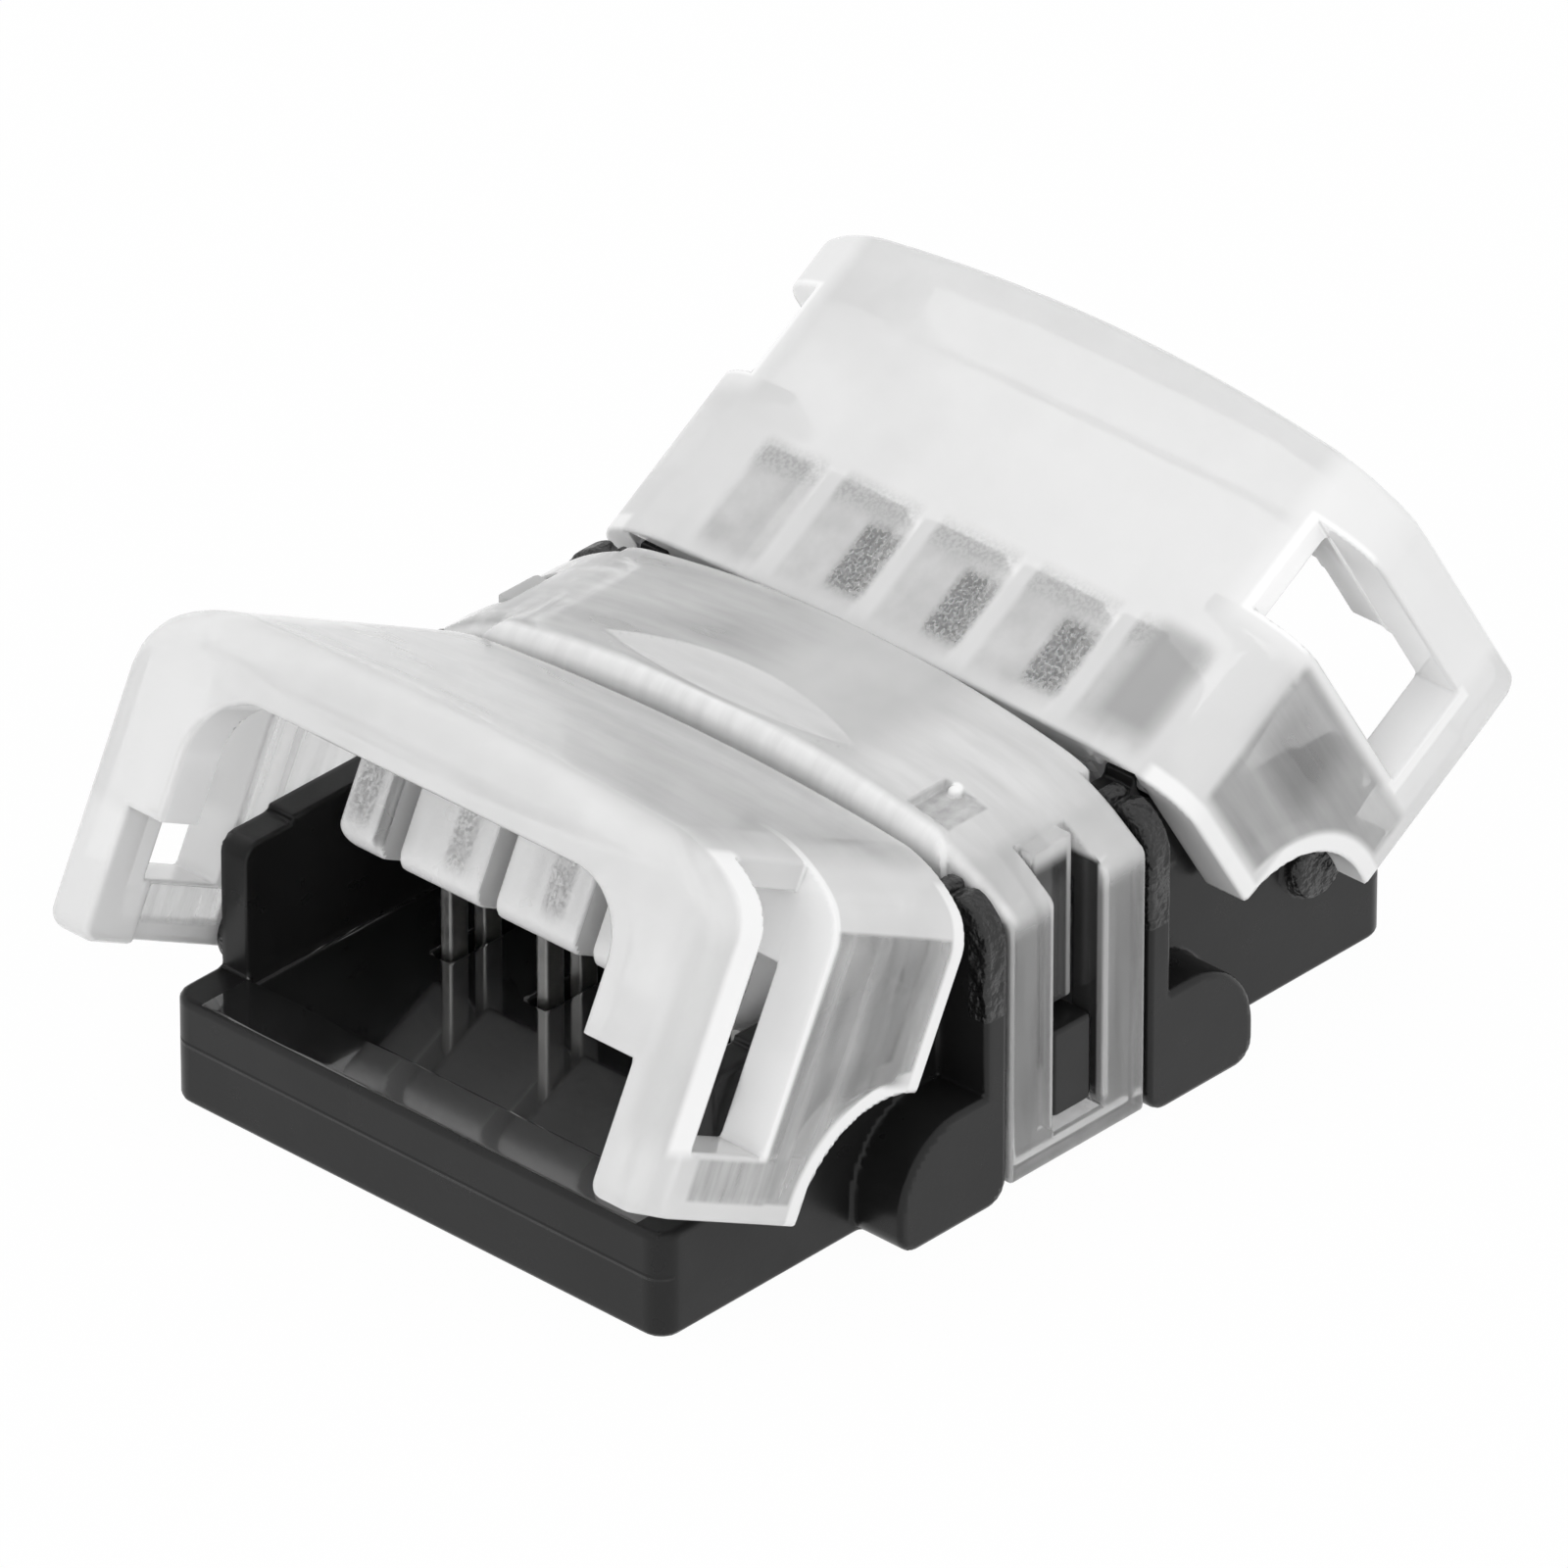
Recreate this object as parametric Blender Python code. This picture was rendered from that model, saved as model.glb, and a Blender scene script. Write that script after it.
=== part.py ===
"""Snap-fit joiner for two flat light strips: a base, a cover, two hinged lids and four contacts.

Metres, +Z up. X runs along the strip, the front end is at -X, and z = 0 is the base's underside.
The distances called u are measured along the strip from the middle of the base, towards either end.
"""
import math

import bmesh
import bpy
from mathutils import Matrix, Vector

# Base plate
PLATE_LENGTH = 0.0189
PLATE_WIDTH = 0.0120
PLATE_HEIGHT = 0.00215
PLATE_ROUND = 0.00045
SOLE_EDGE_ROUND = 0.00012
LIP_LENGTH = 0.0013
FLOOR_DROP = 0.0002

# Side walls and the block between the two trays
WALL_THICKNESS = 0.0007
WALL_HEIGHT = 0.00476
WALL_STEP = 0.00012
WALL_STEP_SETBACK = 0.0012
WALL_CORNER = 0.00035
BLOCK_HALF_LENGTH = 0.0024

# Ears and fins on the base
EAR_END = 0.0046
EAR_RADIUS = 0.0016
EAR_FOOT_HEIGHT = 0.00075
FIN_START = 0.00185
FIN_END = 0.0024
FIN_DROP = 0.00105
FIN_ROUND = 0.0010
FIN_INSET = 0.00025

# Contacts
CONTACT_COUNT = 4
CONTACT_PITCH = 0.00235
CONTACT_THICKNESS = 0.00027
CONTACT_BAR_LOW = 0.0007
CONTACT_BAR_HEIGHT = 0.0008
CONTACT_HALF_LENGTH = 0.0050
PRONG_WIDTH = 0.00046
PRONG_SPACING = 0.00086
PRONG_INSET = 0.00003
PRONG_TOP = 0.0045
PRONG_POINT = 0.0005

# Hinges
HINGE_U = 0.0032
HINGE_RISE = 0.00124
PIN_RADIUS = 0.00035
PIN_CLEARANCE = 0.00006
KNUCKLE_RADIUS = 0.0006
KNUCKLE_TRIM = 0.00022
FRONT_OPENING = math.radians(27.0)
BACK_OPENING = math.radians(31.5)

# Lids, given as they are when closed
LID_START = 0.0028
LID_END = 0.0097
LID_BOTTOM = 0.0005
LID_RISE = 0.0003
LID_THICKNESS = 0.00095
LID_SIDE_DROP = 0.00115
LID_SHOULDER_INSET = 0.00115
LID_SHOULDER_DROP = 0.00029
SKIRT_THICKNESS = 0.00105
LID_FRAME = 0.0011
LIP_BOW = 0.00045
EAR_ARC_RADIUS = 0.0022
EAR_ARC_Z = 0.0009
MOUTH_INSET = 0.0006
MOUTH_LOW = 0.0031
MOUTH_FRAME = 0.0006
MOUTH_ROUND = 0.0009
WINDOW_START = 0.00655
WINDOW_LENGTH = 0.0020
WINDOW_LOW = 0.00175
RIB_END = 0.00545
RIB_LOW = 0.00315
RIB_ROUND = 0.0004
RIB_SLOT = 0.00042
KNUCKLE_POCKET_END = 0.00395
LUG_POCKET_TOP = 0.00275
LUG_POCKET_START = 0.0040

# Latch lugs for the lids
LUG_U = 0.0073
LUG_Z = 0.00245
LUG_RADIUS = 0.0006
LUG_HEIGHT = 0.00032

# Cover
STRAP_HALF = 0.00175
COVER_HALF = 0.00195
COVER_BOTTOM = 0.0002
COVER_SIDE_DROP = 0.00165
COVER_SHOULDER_INSET = 0.0013
COVER_SHOULDER_DROP = 0.00065
COVER_THICKNESS = 0.0007
LEG_THICKNESS = 0.0008
LEG_WINDOW_HALF = 0.00064
CROSSBAR_TOP = 0.0008
TONGUE_HALF = 0.0005
TONGUE_LOW = 0.0029
TONGUE_THICKNESS = 0.0004
STRAP_LUG_HALF = 0.0005
STRAP_LUG_LOW = 0.00095
STRAP_LUG_TOP = 0.00275

# Gaps between pieces
SIDE_GAP = 0.0001
RIB_GAP = 0.0005
FLANGE_GAP = 0.00015
CONTACT_GAP = 0.0001

# Lengths that follow from the ones above
HALF_LENGTH = PLATE_LENGTH / 2
HALF_WIDTH = PLATE_WIDTH / 2
SKIRT_INNER = HALF_WIDTH + SIDE_GAP
HALF_OVERALL = SKIRT_INNER + SKIRT_THICKNESS
WALL_INNER = HALF_WIDTH - WALL_THICKNESS
TRAY_END = HALF_LENGTH - LIP_LENGTH
FLOOR_Z = PLATE_HEIGHT - FLOOR_DROP
WINDOW_END = WINDOW_START + WINDOW_LENGTH
FRAME_START = LID_END - LID_FRAME
HINGE_Z = WALL_HEIGHT + HINGE_RISE
LID_UNDERSIDE = HINGE_Z + LID_RISE
LID_CROWN = LID_UNDERSIDE + LID_THICKNESS
LID_SIDE_TOP = LID_CROWN - LID_SIDE_DROP
LID_SHOULDER_Z = LID_CROWN - LID_SHOULDER_DROP
LIP_UNDERSIDE = LID_UNDERSIDE - SIDE_GAP
MOUTH_TOP = LID_UNDERSIDE - MOUTH_FRAME
KNUCKLE_POCKET_TOP = HINGE_Z + KNUCKLE_RADIUS + PIN_CLEARANCE
COVER_CROWN = LID_CROWN
COVER_SIDE_TOP = COVER_CROWN - COVER_SIDE_DROP
COVER_SHOULDER_Z = COVER_CROWN - COVER_SHOULDER_DROP
CENTRE_WALL_HEIGHT = COVER_SIDE_TOP - SIDE_GAP
FIN_HEIGHT = COVER_CROWN - FIN_DROP
LID_SHOULDER_Y = HALF_OVERALL - LID_SHOULDER_INSET
MOUTH_HALF_WIDTH = WALL_INNER - MOUTH_INSET
RIB_BLOCK_HALF_WIDTH = WALL_INNER - RIB_GAP
FIN_INNER = HALF_WIDTH - FIN_INSET
COVER_FLANGE_HALF_WIDTH = FIN_INNER - FLANGE_GAP
COVER_SHOULDER_Y = HALF_OVERALL - COVER_SHOULDER_INSET
LEG_WINDOW_INNER = SKIRT_INNER + SIDE_GAP / 2
LUG_FACE = HALF_WIDTH + LUG_HEIGHT
SLOT_WIDTH = CONTACT_THICKNESS + 2 * CONTACT_GAP
BEYOND = 0.003
ARC_STEPS = 10

COLLECTION = "led_strip_connector"


def clear_scene():
    """Empties the scene before anything is built."""
    for item in list(bpy.data.objects):
        bpy.data.objects.remove(item, do_unlink=True)
    for group in list(bpy.data.collections):
        bpy.data.collections.remove(group)


def new_collection():
    """Returns the collection that holds the parts."""
    group = bpy.data.collections.new(COLLECTION)
    bpy.context.scene.collection.children.link(group)
    return group


def material(name, colour, roughness, metallic=0.0):
    """Returns a plain Principled BSDF material."""
    made = bpy.data.materials.new(name)
    made.use_nodes = True
    shader = made.node_tree.nodes["Principled BSDF"]
    shader.inputs["Base Color"].default_value = (*colour, 1.0)
    shader.inputs["Roughness"].default_value = roughness
    shader.inputs["Metallic"].default_value = metallic
    return made


def object_from(bm, name="work"):
    """Turns a bmesh into an object with its faces pointing out."""
    bmesh.ops.recalc_face_normals(bm, faces=bm.faces)
    mesh = bpy.data.meshes.new(name)
    bm.to_mesh(mesh)
    bm.free()
    made = bpy.data.objects.new(name, mesh)
    bpy.context.scene.collection.objects.link(made)
    return made


def box(low, high):
    """Returns a box between two corners."""
    bm = bmesh.new()
    bmesh.ops.create_cube(bm, size=1.0)
    for vert in bm.verts:
        vert.co = Vector(low[i] if vert.co[i] < 0 else high[i] for i in range(3))
    return object_from(bm)


def side_boxes(u_low, u_high, y_low, y_high, z_low, z_high):
    """Returns two boxes, one on each side of the part's middle plane."""
    near = box((u_low, -y_high, z_low), (u_high, -y_low, z_high))
    far = box((u_low, y_low, z_low), (u_high, y_high, z_high))
    return [near, far]


def prism(outline, axis, low, high):
    """Extrudes an outline along X, Y or Z; it gives the other two coordinates in order."""
    bm = bmesh.new()
    ring = []
    for a, b in outline:
        if axis == "X":
            ring.append(bm.verts.new((low, a, b)))
        elif axis == "Y":
            ring.append(bm.verts.new((a, low, b)))
        else:
            ring.append(bm.verts.new((a, b, low)))
    face = bm.faces.new(ring)
    moved = bmesh.ops.extrude_face_region(bm, geom=[face])
    for item in moved["geom"]:
        if isinstance(item, bmesh.types.BMVert):
            item.co["XYZ".index(axis)] = high
    return object_from(bm)


def side_prisms(outline, low, high):
    """Extrudes an (x, z) outline across both side regions, low to high from the middle plane."""
    return [prism(outline, "Y", -high, -low), prism(outline, "Y", low, high)]


def arc(centre, radius, start, end, steps=ARC_STEPS):
    """Returns points on an arc, angles in degrees."""
    points = []
    for i in range(steps + 1):
        angle = math.radians(start + (end - start) * i / steps)
        points.append((centre[0] + radius * math.cos(angle), centre[1] + radius * math.sin(angle)))
    return points


def cylinder_y(u, z, radius, low, high, segments=32):
    """Returns a round bar along Y."""
    bm = bmesh.new()
    bmesh.ops.create_cone(
        bm, cap_ends=True, segments=segments, radius1=radius, radius2=radius, depth=abs(high - low)
    )
    for vert in bm.verts:
        side = low if vert.co.z < 0 else high
        vert.co = Vector((u + vert.co.x, side, z + vert.co.y))
    return object_from(bm)


def combine(target, others, operation):
    """Unites, cuts or intersects the target with each of the others, which are then removed."""
    for other in others:
        step = target.modifiers.new("step", "BOOLEAN")
        step.solver = "EXACT"
        step.operation = operation
        step.object = other
        bpy.context.view_layer.update()
        evaluated = target.evaluated_get(bpy.context.evaluated_depsgraph_get())
        mesh = bpy.data.meshes.new_from_object(evaluated)
        target.modifiers.clear()
        target.data = mesh
        bpy.data.objects.remove(other, do_unlink=True)
    return target


def add(target, others):
    """Unites pieces of one moulding."""
    return combine(target, others, "UNION")


def cut(target, others):
    """Cuts holes and recesses."""
    return combine(target, others, "DIFFERENCE")


def both_ends(build):
    """Runs a builder for the back end and for the front end and returns all pieces."""
    return build(1.0) + build(-1.0)


def span(sign, low, high):
    """Orders two distances from the middle on the side that sign gives."""
    return (low, high) if sign > 0 else (-high, -low)


def plate():
    """The sole of the base, with rounded upright corners and a small rounding along its lower edges."""
    made = box((-HALF_LENGTH, -HALF_WIDTH, 0), (HALF_LENGTH, HALF_WIDTH, PLATE_HEIGHT))
    bm = bmesh.new()
    bm.from_mesh(made.data)
    middle = PLATE_HEIGHT / 2
    upright = [e for e in bm.edges if (e.verts[0].co.z < middle) != (e.verts[1].co.z < middle)]
    bmesh.ops.bevel(bm, geom=upright, offset=PLATE_ROUND, segments=4, profile=0.5, affect="EDGES")
    lower = [e for e in bm.edges if all(v.co.z < middle for v in e.verts)]
    bmesh.ops.bevel(bm, geom=lower, offset=SOLE_EDGE_ROUND, segments=2, profile=0.5, affect="EDGES")
    bm.to_mesh(made.data)
    bm.free()
    return made


def side_walls():
    """The two long walls, stepped near their ends and with a rounded front corner."""
    end = TRAY_END
    step = end - WALL_STEP_SETBACK
    corner = arc((end - WALL_CORNER, WALL_HEIGHT - WALL_CORNER), WALL_CORNER, 0, 90, 5)
    half = [(end, PLATE_HEIGHT / 2)] + corner
    half += [(step, WALL_HEIGHT), (step, WALL_HEIGHT + WALL_STEP)]
    outline = half + [(-u, z) for u, z in reversed(half)]
    return side_prisms(outline, WALL_INNER, HALF_WIDTH)


def centre_block():
    """The raised middle between the two trays, with higher walls under the cover's shoulders."""
    low = PLATE_HEIGHT / 2
    middle = box(
        (-BLOCK_HALF_LENGTH, -HALF_WIDTH, low), (BLOCK_HALF_LENGTH, HALF_WIDTH, WALL_HEIGHT + WALL_STEP)
    )
    walls = side_boxes(-FIN_START, FIN_START, WALL_INNER, HALF_WIDTH, low, CENTRE_WALL_HEIGHT)
    return [middle] + walls


def ears(sign):
    """The quarter-round ears that stick out beside the plate."""
    top_u = EAR_END - EAR_RADIUS
    foot = arc((EAR_END - SOLE_EDGE_ROUND, SOLE_EDGE_ROUND), SOLE_EDGE_ROUND, -90, 0, 3)
    round_top = arc((top_u, EAR_FOOT_HEIGHT), EAR_RADIUS, 0, 90, 12)
    outline = [(FIN_START, 0.0)] + foot + round_top + [(FIN_START, EAR_FOOT_HEIGHT + EAR_RADIUS)]
    outline = [(sign * u, z) for u, z in outline]
    return side_prisms(outline, WALL_INNER, HALF_OVERALL)


def fins(sign):
    """The upright fins between the cover's legs and the lids."""
    low, high = span(sign, FIN_START, FIN_END)
    corner = arc((HALF_OVERALL - FIN_ROUND, FIN_HEIGHT - FIN_ROUND), FIN_ROUND, 0, 90, 8)
    outline = [(WALL_INNER, PLATE_HEIGHT / 2), (HALF_OVERALL, PLATE_HEIGHT / 2)] + corner
    outline += [(FIN_INNER, FIN_HEIGHT), (FIN_INNER, CENTRE_WALL_HEIGHT), (WALL_INNER, CENTRE_WALL_HEIGHT)]
    near = prism([(-y, z) for y, z in outline], "X", low, high)
    far = prism(outline, "X", low, high)
    return [near, far]


def knuckles(sign):
    """The cheeks on the side walls, each with an open seat for a lid's pin."""
    trim = math.degrees(math.asin(KNUCKLE_TRIM / KNUCKLE_RADIUS))
    seat_radius = PIN_RADIUS + PIN_CLEARANCE
    mouth = math.degrees(math.asin(KNUCKLE_TRIM / seat_radius))
    centre = (HINGE_U, HINGE_Z)
    low_z = WALL_HEIGHT - WALL_CORNER
    start = FIN_END - PIN_RADIUS / 2
    outline = [(start, low_z), (HINGE_U + KNUCKLE_RADIUS, low_z)]
    outline += arc(centre, KNUCKLE_RADIUS, 0, trim, 3)
    outline += arc(centre, seat_radius, mouth, -180 - mouth, 20)
    outline += arc(centre, KNUCKLE_RADIUS, 180 - trim, 180, 3)
    outline.append((start, HINGE_Z))
    return side_prisms([(sign * u, z) for u, z in outline], WALL_INNER, HALF_WIDTH)


def lid_lugs(sign):
    """The round lugs that the lids' windows snap over."""
    inner = HALF_WIDTH - WALL_THICKNESS / 2
    near = cylinder_y(sign * LUG_U, LUG_Z, LUG_RADIUS, -LUG_FACE, -inner)
    far = cylinder_y(sign * LUG_U, LUG_Z, LUG_RADIUS, inner, LUG_FACE)
    return [near, far]


def strap_lugs():
    """The square lugs that hold the cover's crossbars down."""
    outer = HALF_OVERALL - SIDE_GAP * 1.5
    inner = HALF_WIDTH - WALL_THICKNESS / 2
    return side_boxes(-STRAP_LUG_HALF, STRAP_LUG_HALF, inner, outer, STRAP_LUG_LOW, STRAP_LUG_TOP)


def contact_places():
    """Returns the y position of each contact, from the near side to the far side."""
    middle = (CONTACT_COUNT - 1) / 2
    return [(i - middle) * CONTACT_PITCH for i in range(CONTACT_COUNT)]


def tray_cuts(sign):
    """The strip tray behind each lip."""
    low, high = span(sign, BLOCK_HALF_LENGTH, TRAY_END)
    return [box((low, -WALL_INNER, FLOOR_Z), (high, WALL_INNER, HINGE_Z + BEYOND))]


def contact_slots():
    """The grooves, open at the top, that the contacts drop into."""
    reach = CONTACT_HALF_LENGTH + CONTACT_GAP
    made = []
    for y in contact_places():
        low = (-reach, y - SLOT_WIDTH / 2, CONTACT_BAR_LOW - CONTACT_GAP)
        made.append(box(low, (reach, y + SLOT_WIDTH / 2, HINGE_Z + BEYOND)))
    return made


def build_base():
    """The black moulding."""
    base = plate()
    add(base, side_walls())
    add(base, centre_block())
    cut(base, both_ends(tray_cuts))
    add(base, both_ends(ears))
    add(base, both_ends(fins))
    add(base, both_ends(knuckles))
    add(base, both_ends(lid_lugs))
    add(base, strap_lugs())
    cut(base, contact_slots())
    return base


def build_contact(y):
    """One stamped contact: a bar on edge with two pointed prongs standing up at each end."""
    top = CONTACT_BAR_LOW + CONTACT_BAR_HEIGHT
    half = [(0.0, CONTACT_BAR_LOW), (CONTACT_HALF_LENGTH, CONTACT_BAR_LOW), (CONTACT_HALF_LENGTH, top)]
    outer = CONTACT_HALF_LENGTH - PRONG_INSET
    for high in (outer, outer - PRONG_SPACING):
        low = high - PRONG_WIDTH
        half += [(high, top), (high, PRONG_TOP - PRONG_POINT), ((low + high) / 2, PRONG_TOP)]
        half += [(low, PRONG_TOP - PRONG_POINT), (low, top)]
    outline = half + [(-u, z) for u, z in reversed(half) if u > 1e-9]
    return prism(outline, "Y", y - CONTACT_THICKNESS / 2, y + CONTACT_THICKNESS / 2)


def crowned(half_width, low, side_top, shoulder_y, shoulder_z, crown, steps=12):
    """A (y, z) outline: upright sides, sloping shoulders and a gently crowned top."""
    top = []
    for i in range(2 * steps + 1):
        y = shoulder_y * (1 - i / steps)
        top.append((y, crown - (crown - shoulder_z) * (y / shoulder_y) ** 2))
    right = [(half_width, low), (half_width, side_top)]
    left = [(-half_width, side_top), (-half_width, low)]
    return right + top + left


def lid_shell():
    """The lid's outer form with its bowed lip at the end."""
    outline = crowned(HALF_OVERALL, LID_BOTTOM, LID_SIDE_TOP, LID_SHOULDER_Y, LID_SHOULDER_Z, LID_CROWN)
    shell = prism(outline, "X", LID_START, LID_END + BEYOND)
    side = HALF_OVERALL + BEYOND
    below = box((LID_END, -side, -BEYOND), (LID_END + 2 * BEYOND, side, LIP_UNDERSIDE))
    bow = [(LID_END, -side), (LID_END, -HALF_OVERALL)]
    for i in range(1, 16):
        share = i / 8 - 1
        bow.append((LID_END + LIP_BOW * (1 - share**2), share * HALF_OVERALL))
    bow += [(LID_END, HALF_OVERALL), (LID_END, side)]
    bow += [(LID_END + 2 * BEYOND, side), (LID_END + 2 * BEYOND, -side)]
    beyond = prism(bow, "Z", LIP_UNDERSIDE - BEYOND, LID_CROWN + BEYOND)
    return cut(shell, [below, beyond])


def lid_cavity():
    """The hollow over the tray and the mouth at the lid's end."""
    hollow = box((LID_START - BEYOND, -SKIRT_INNER, -BEYOND), (FRAME_START, SKIRT_INNER, LID_UNDERSIDE))
    lower = box((FRAME_START - SIDE_GAP, -SKIRT_INNER, -BEYOND), (LID_END + BEYOND, SKIRT_INNER, MOUTH_LOW))
    corner_y = MOUTH_HALF_WIDTH - MOUTH_ROUND
    right = arc((corner_y, MOUTH_TOP - MOUTH_ROUND), MOUTH_ROUND, 0, 90, 6)
    outline = [(MOUTH_HALF_WIDTH, MOUTH_LOW - SIDE_GAP)] + right
    outline += [(-y, z) for y, z in reversed(outline)]
    upper = prism(outline, "X", FRAME_START - SIDE_GAP, LID_END + BEYOND)
    return [hollow, lower, upper]


def ear_arcs():
    """The hollowed corners of the skirts that fit round the ears."""
    low_y, high_y = SKIRT_INNER - SIDE_GAP, HALF_OVERALL + SIDE_GAP
    outline = arc((LID_START, EAR_ARC_Z), EAR_ARC_RADIUS, 0, 90, 12)
    outline += [(LID_START - BEYOND, EAR_ARC_Z + EAR_ARC_RADIUS), (LID_START - BEYOND, -BEYOND)]
    outline.append((LID_START + EAR_ARC_RADIUS, -BEYOND))
    return side_prisms(outline, low_y, high_y)


def lid_windows():
    """The side windows, open at the top, and the shallow pockets behind them for the lugs."""
    inner = LID_SHOULDER_Y + SIDE_GAP / 2
    outer = HALF_OVERALL + BEYOND
    windows = side_boxes(WINDOW_START, WINDOW_END, inner, outer, WINDOW_LOW, LID_CROWN + BEYOND)
    pocket_face = LUG_FACE + SIDE_GAP
    pockets = side_boxes(
        LUG_POCKET_START, WINDOW_END, HALF_WIDTH, pocket_face, -BEYOND, LUG_POCKET_TOP
    )
    return windows + pockets


def lid_ribs():
    """The pressing block under the lid, in five sections with slots for the contacts' prongs."""
    low, high = LID_START, RIB_END
    corner = arc((high - RIB_ROUND, RIB_LOW + RIB_ROUND), RIB_ROUND, -90, 0, 4)
    outline = [(low, RIB_LOW)] + corner + [(high, LID_UNDERSIDE + SIDE_GAP), (low, LID_UNDERSIDE + SIDE_GAP)]
    edges = [-RIB_BLOCK_HALF_WIDTH]
    for y in contact_places():
        edges += [y - RIB_SLOT / 2, y + RIB_SLOT / 2]
    edges.append(RIB_BLOCK_HALF_WIDTH)
    return [prism(outline, "Y", edges[i], edges[i + 1]) for i in range(0, len(edges), 2)]


def build_lid():
    """One lid in its closed place at the back end."""
    lid = lid_shell()
    cut(lid, lid_cavity())
    cut(lid, ear_arcs())
    cut(lid, lid_windows())
    pocket_inner = WALL_INNER - SIDE_GAP
    pockets = side_boxes(
        LID_START - BEYOND, KNUCKLE_POCKET_END, pocket_inner, SKIRT_INNER, RIB_LOW, KNUCKLE_POCKET_TOP
    )
    cut(lid, pockets)
    add(lid, lid_ribs())
    pin_inner = WALL_INNER + SIDE_GAP / 2
    pin_root = SKIRT_INNER + SKIRT_THICKNESS / 3
    near = cylinder_y(HINGE_U, HINGE_Z, PIN_RADIUS, -pin_root, -pin_inner, 24)
    far = cylinder_y(HINGE_U, HINGE_Z, PIN_RADIUS, pin_inner, pin_root, 24)
    return add(lid, [near, far])


def open_lid(lid, sign, angle):
    """Turns a closed lid to its end, opens it and puts its origin on the hinge axis."""
    hinge = Vector((HINGE_U, 0.0, HINGE_Z))
    lid.data.transform(Matrix.Translation(-hinge))
    lid.data.transform(Matrix.Rotation(-angle, 4, "Y"))
    if sign < 0:
        lid.data.transform(Matrix.Rotation(math.pi, 4, "Z"))
    lid.location = Vector((sign * HINGE_U, 0.0, HINGE_Z))
    return lid


def cover_shell():
    """The cover's bridge with its two legs."""
    outer = crowned(
        HALF_OVERALL, COVER_BOTTOM, COVER_SIDE_TOP, COVER_SHOULDER_Y, COVER_SHOULDER_Z, COVER_CROWN
    )
    whole = prism(outer, "X", -COVER_HALF, COVER_HALF)
    side = HALF_OVERALL + BEYOND
    corners = side_boxes(
        STRAP_HALF, COVER_HALF + BEYOND, COVER_FLANGE_HALF_WIDTH, side, -BEYOND, COVER_CROWN + BEYOND
    )
    corners += side_boxes(
        -COVER_HALF - BEYOND, -STRAP_HALF, COVER_FLANGE_HALF_WIDTH, side, -BEYOND, COVER_CROWN + BEYOND
    )
    return cut(whole, corners)


def cover_hollow():
    """The space under the bridge."""
    inner = crowned(
        HALF_OVERALL - LEG_THICKNESS, -BEYOND, COVER_SIDE_TOP - COVER_THICKNESS / 2,
        COVER_SHOULDER_Y - COVER_THICKNESS / 2, COVER_SHOULDER_Z - COVER_THICKNESS,
        COVER_CROWN - COVER_THICKNESS,
    )
    return [prism(inner, "X", -COVER_HALF - BEYOND, COVER_HALF + BEYOND)]


def build_cover():
    """The clear middle cover with its windowed legs and inner tongues."""
    cover = cover_shell()
    cut(cover, cover_hollow())
    windows = side_boxes(
        -LEG_WINDOW_HALF, LEG_WINDOW_HALF, LEG_WINDOW_INNER, HALF_OVERALL + BEYOND,
        CROSSBAR_TOP, COVER_CROWN + BEYOND,
    )
    cut(cover, windows)
    inner = HALF_WIDTH + SIDE_GAP
    top = COVER_SHOULDER_Z - COVER_THICKNESS / 2
    tongues = side_boxes(-TONGUE_HALF, TONGUE_HALF, inner, inner + TONGUE_THICKNESS, TONGUE_LOW, top)
    return add(cover, tongues)


def finish_object(made, name, group, look):
    """Names an object, gives it its material and moves it to the part's collection."""
    made.name = name
    made.data.name = name
    made.data.materials.clear()
    made.data.materials.append(look)
    bm = bmesh.new()
    bm.from_mesh(made.data)
    bmesh.ops.remove_doubles(bm, verts=bm.verts, dist=0.000001)
    loose = [edge for edge in bm.edges if not edge.link_faces]
    bmesh.ops.delete(bm, geom=loose, context="EDGES")
    bmesh.ops.recalc_face_normals(bm, faces=bm.faces)
    bm.to_mesh(made.data)
    bm.free()
    for used in list(made.users_collection):
        used.objects.unlink(made)
    group.objects.link(made)


def main():
    """Builds every piece."""
    clear_scene()
    group = new_collection()
    finish_object(build_base(), "base", group, material("base_black", (0.02, 0.02, 0.022), 0.3))
    finish_object(build_cover(), "centre_cover", group, material("cover_clear", (0.85, 0.87, 0.88), 0.15))
    for name, sign, angle in (("front_lid", -1.0, FRONT_OPENING), ("back_lid", 1.0, BACK_OPENING)):
        lid = open_lid(build_lid(), sign, angle)
        finish_object(lid, name, group, material(name + "_clear", (0.88, 0.9, 0.91), 0.15))
    for index, y in enumerate(contact_places()):
        look = material("contact_metal_" + str(index + 1), (0.78, 0.76, 0.72), 0.25, 1.0)
        finish_object(build_contact(y), "contact_" + str(index + 1), group, look)


main()
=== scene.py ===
"""Looks of a snap-fit joiner for flat light strips: black base, clear cover and two clear lids."""

import logging
import math
from dataclasses import dataclass, field
from enum import Enum
from typing import Callable

import bpy
import numpy as np
from mathutils import Matrix, Vector

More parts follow.
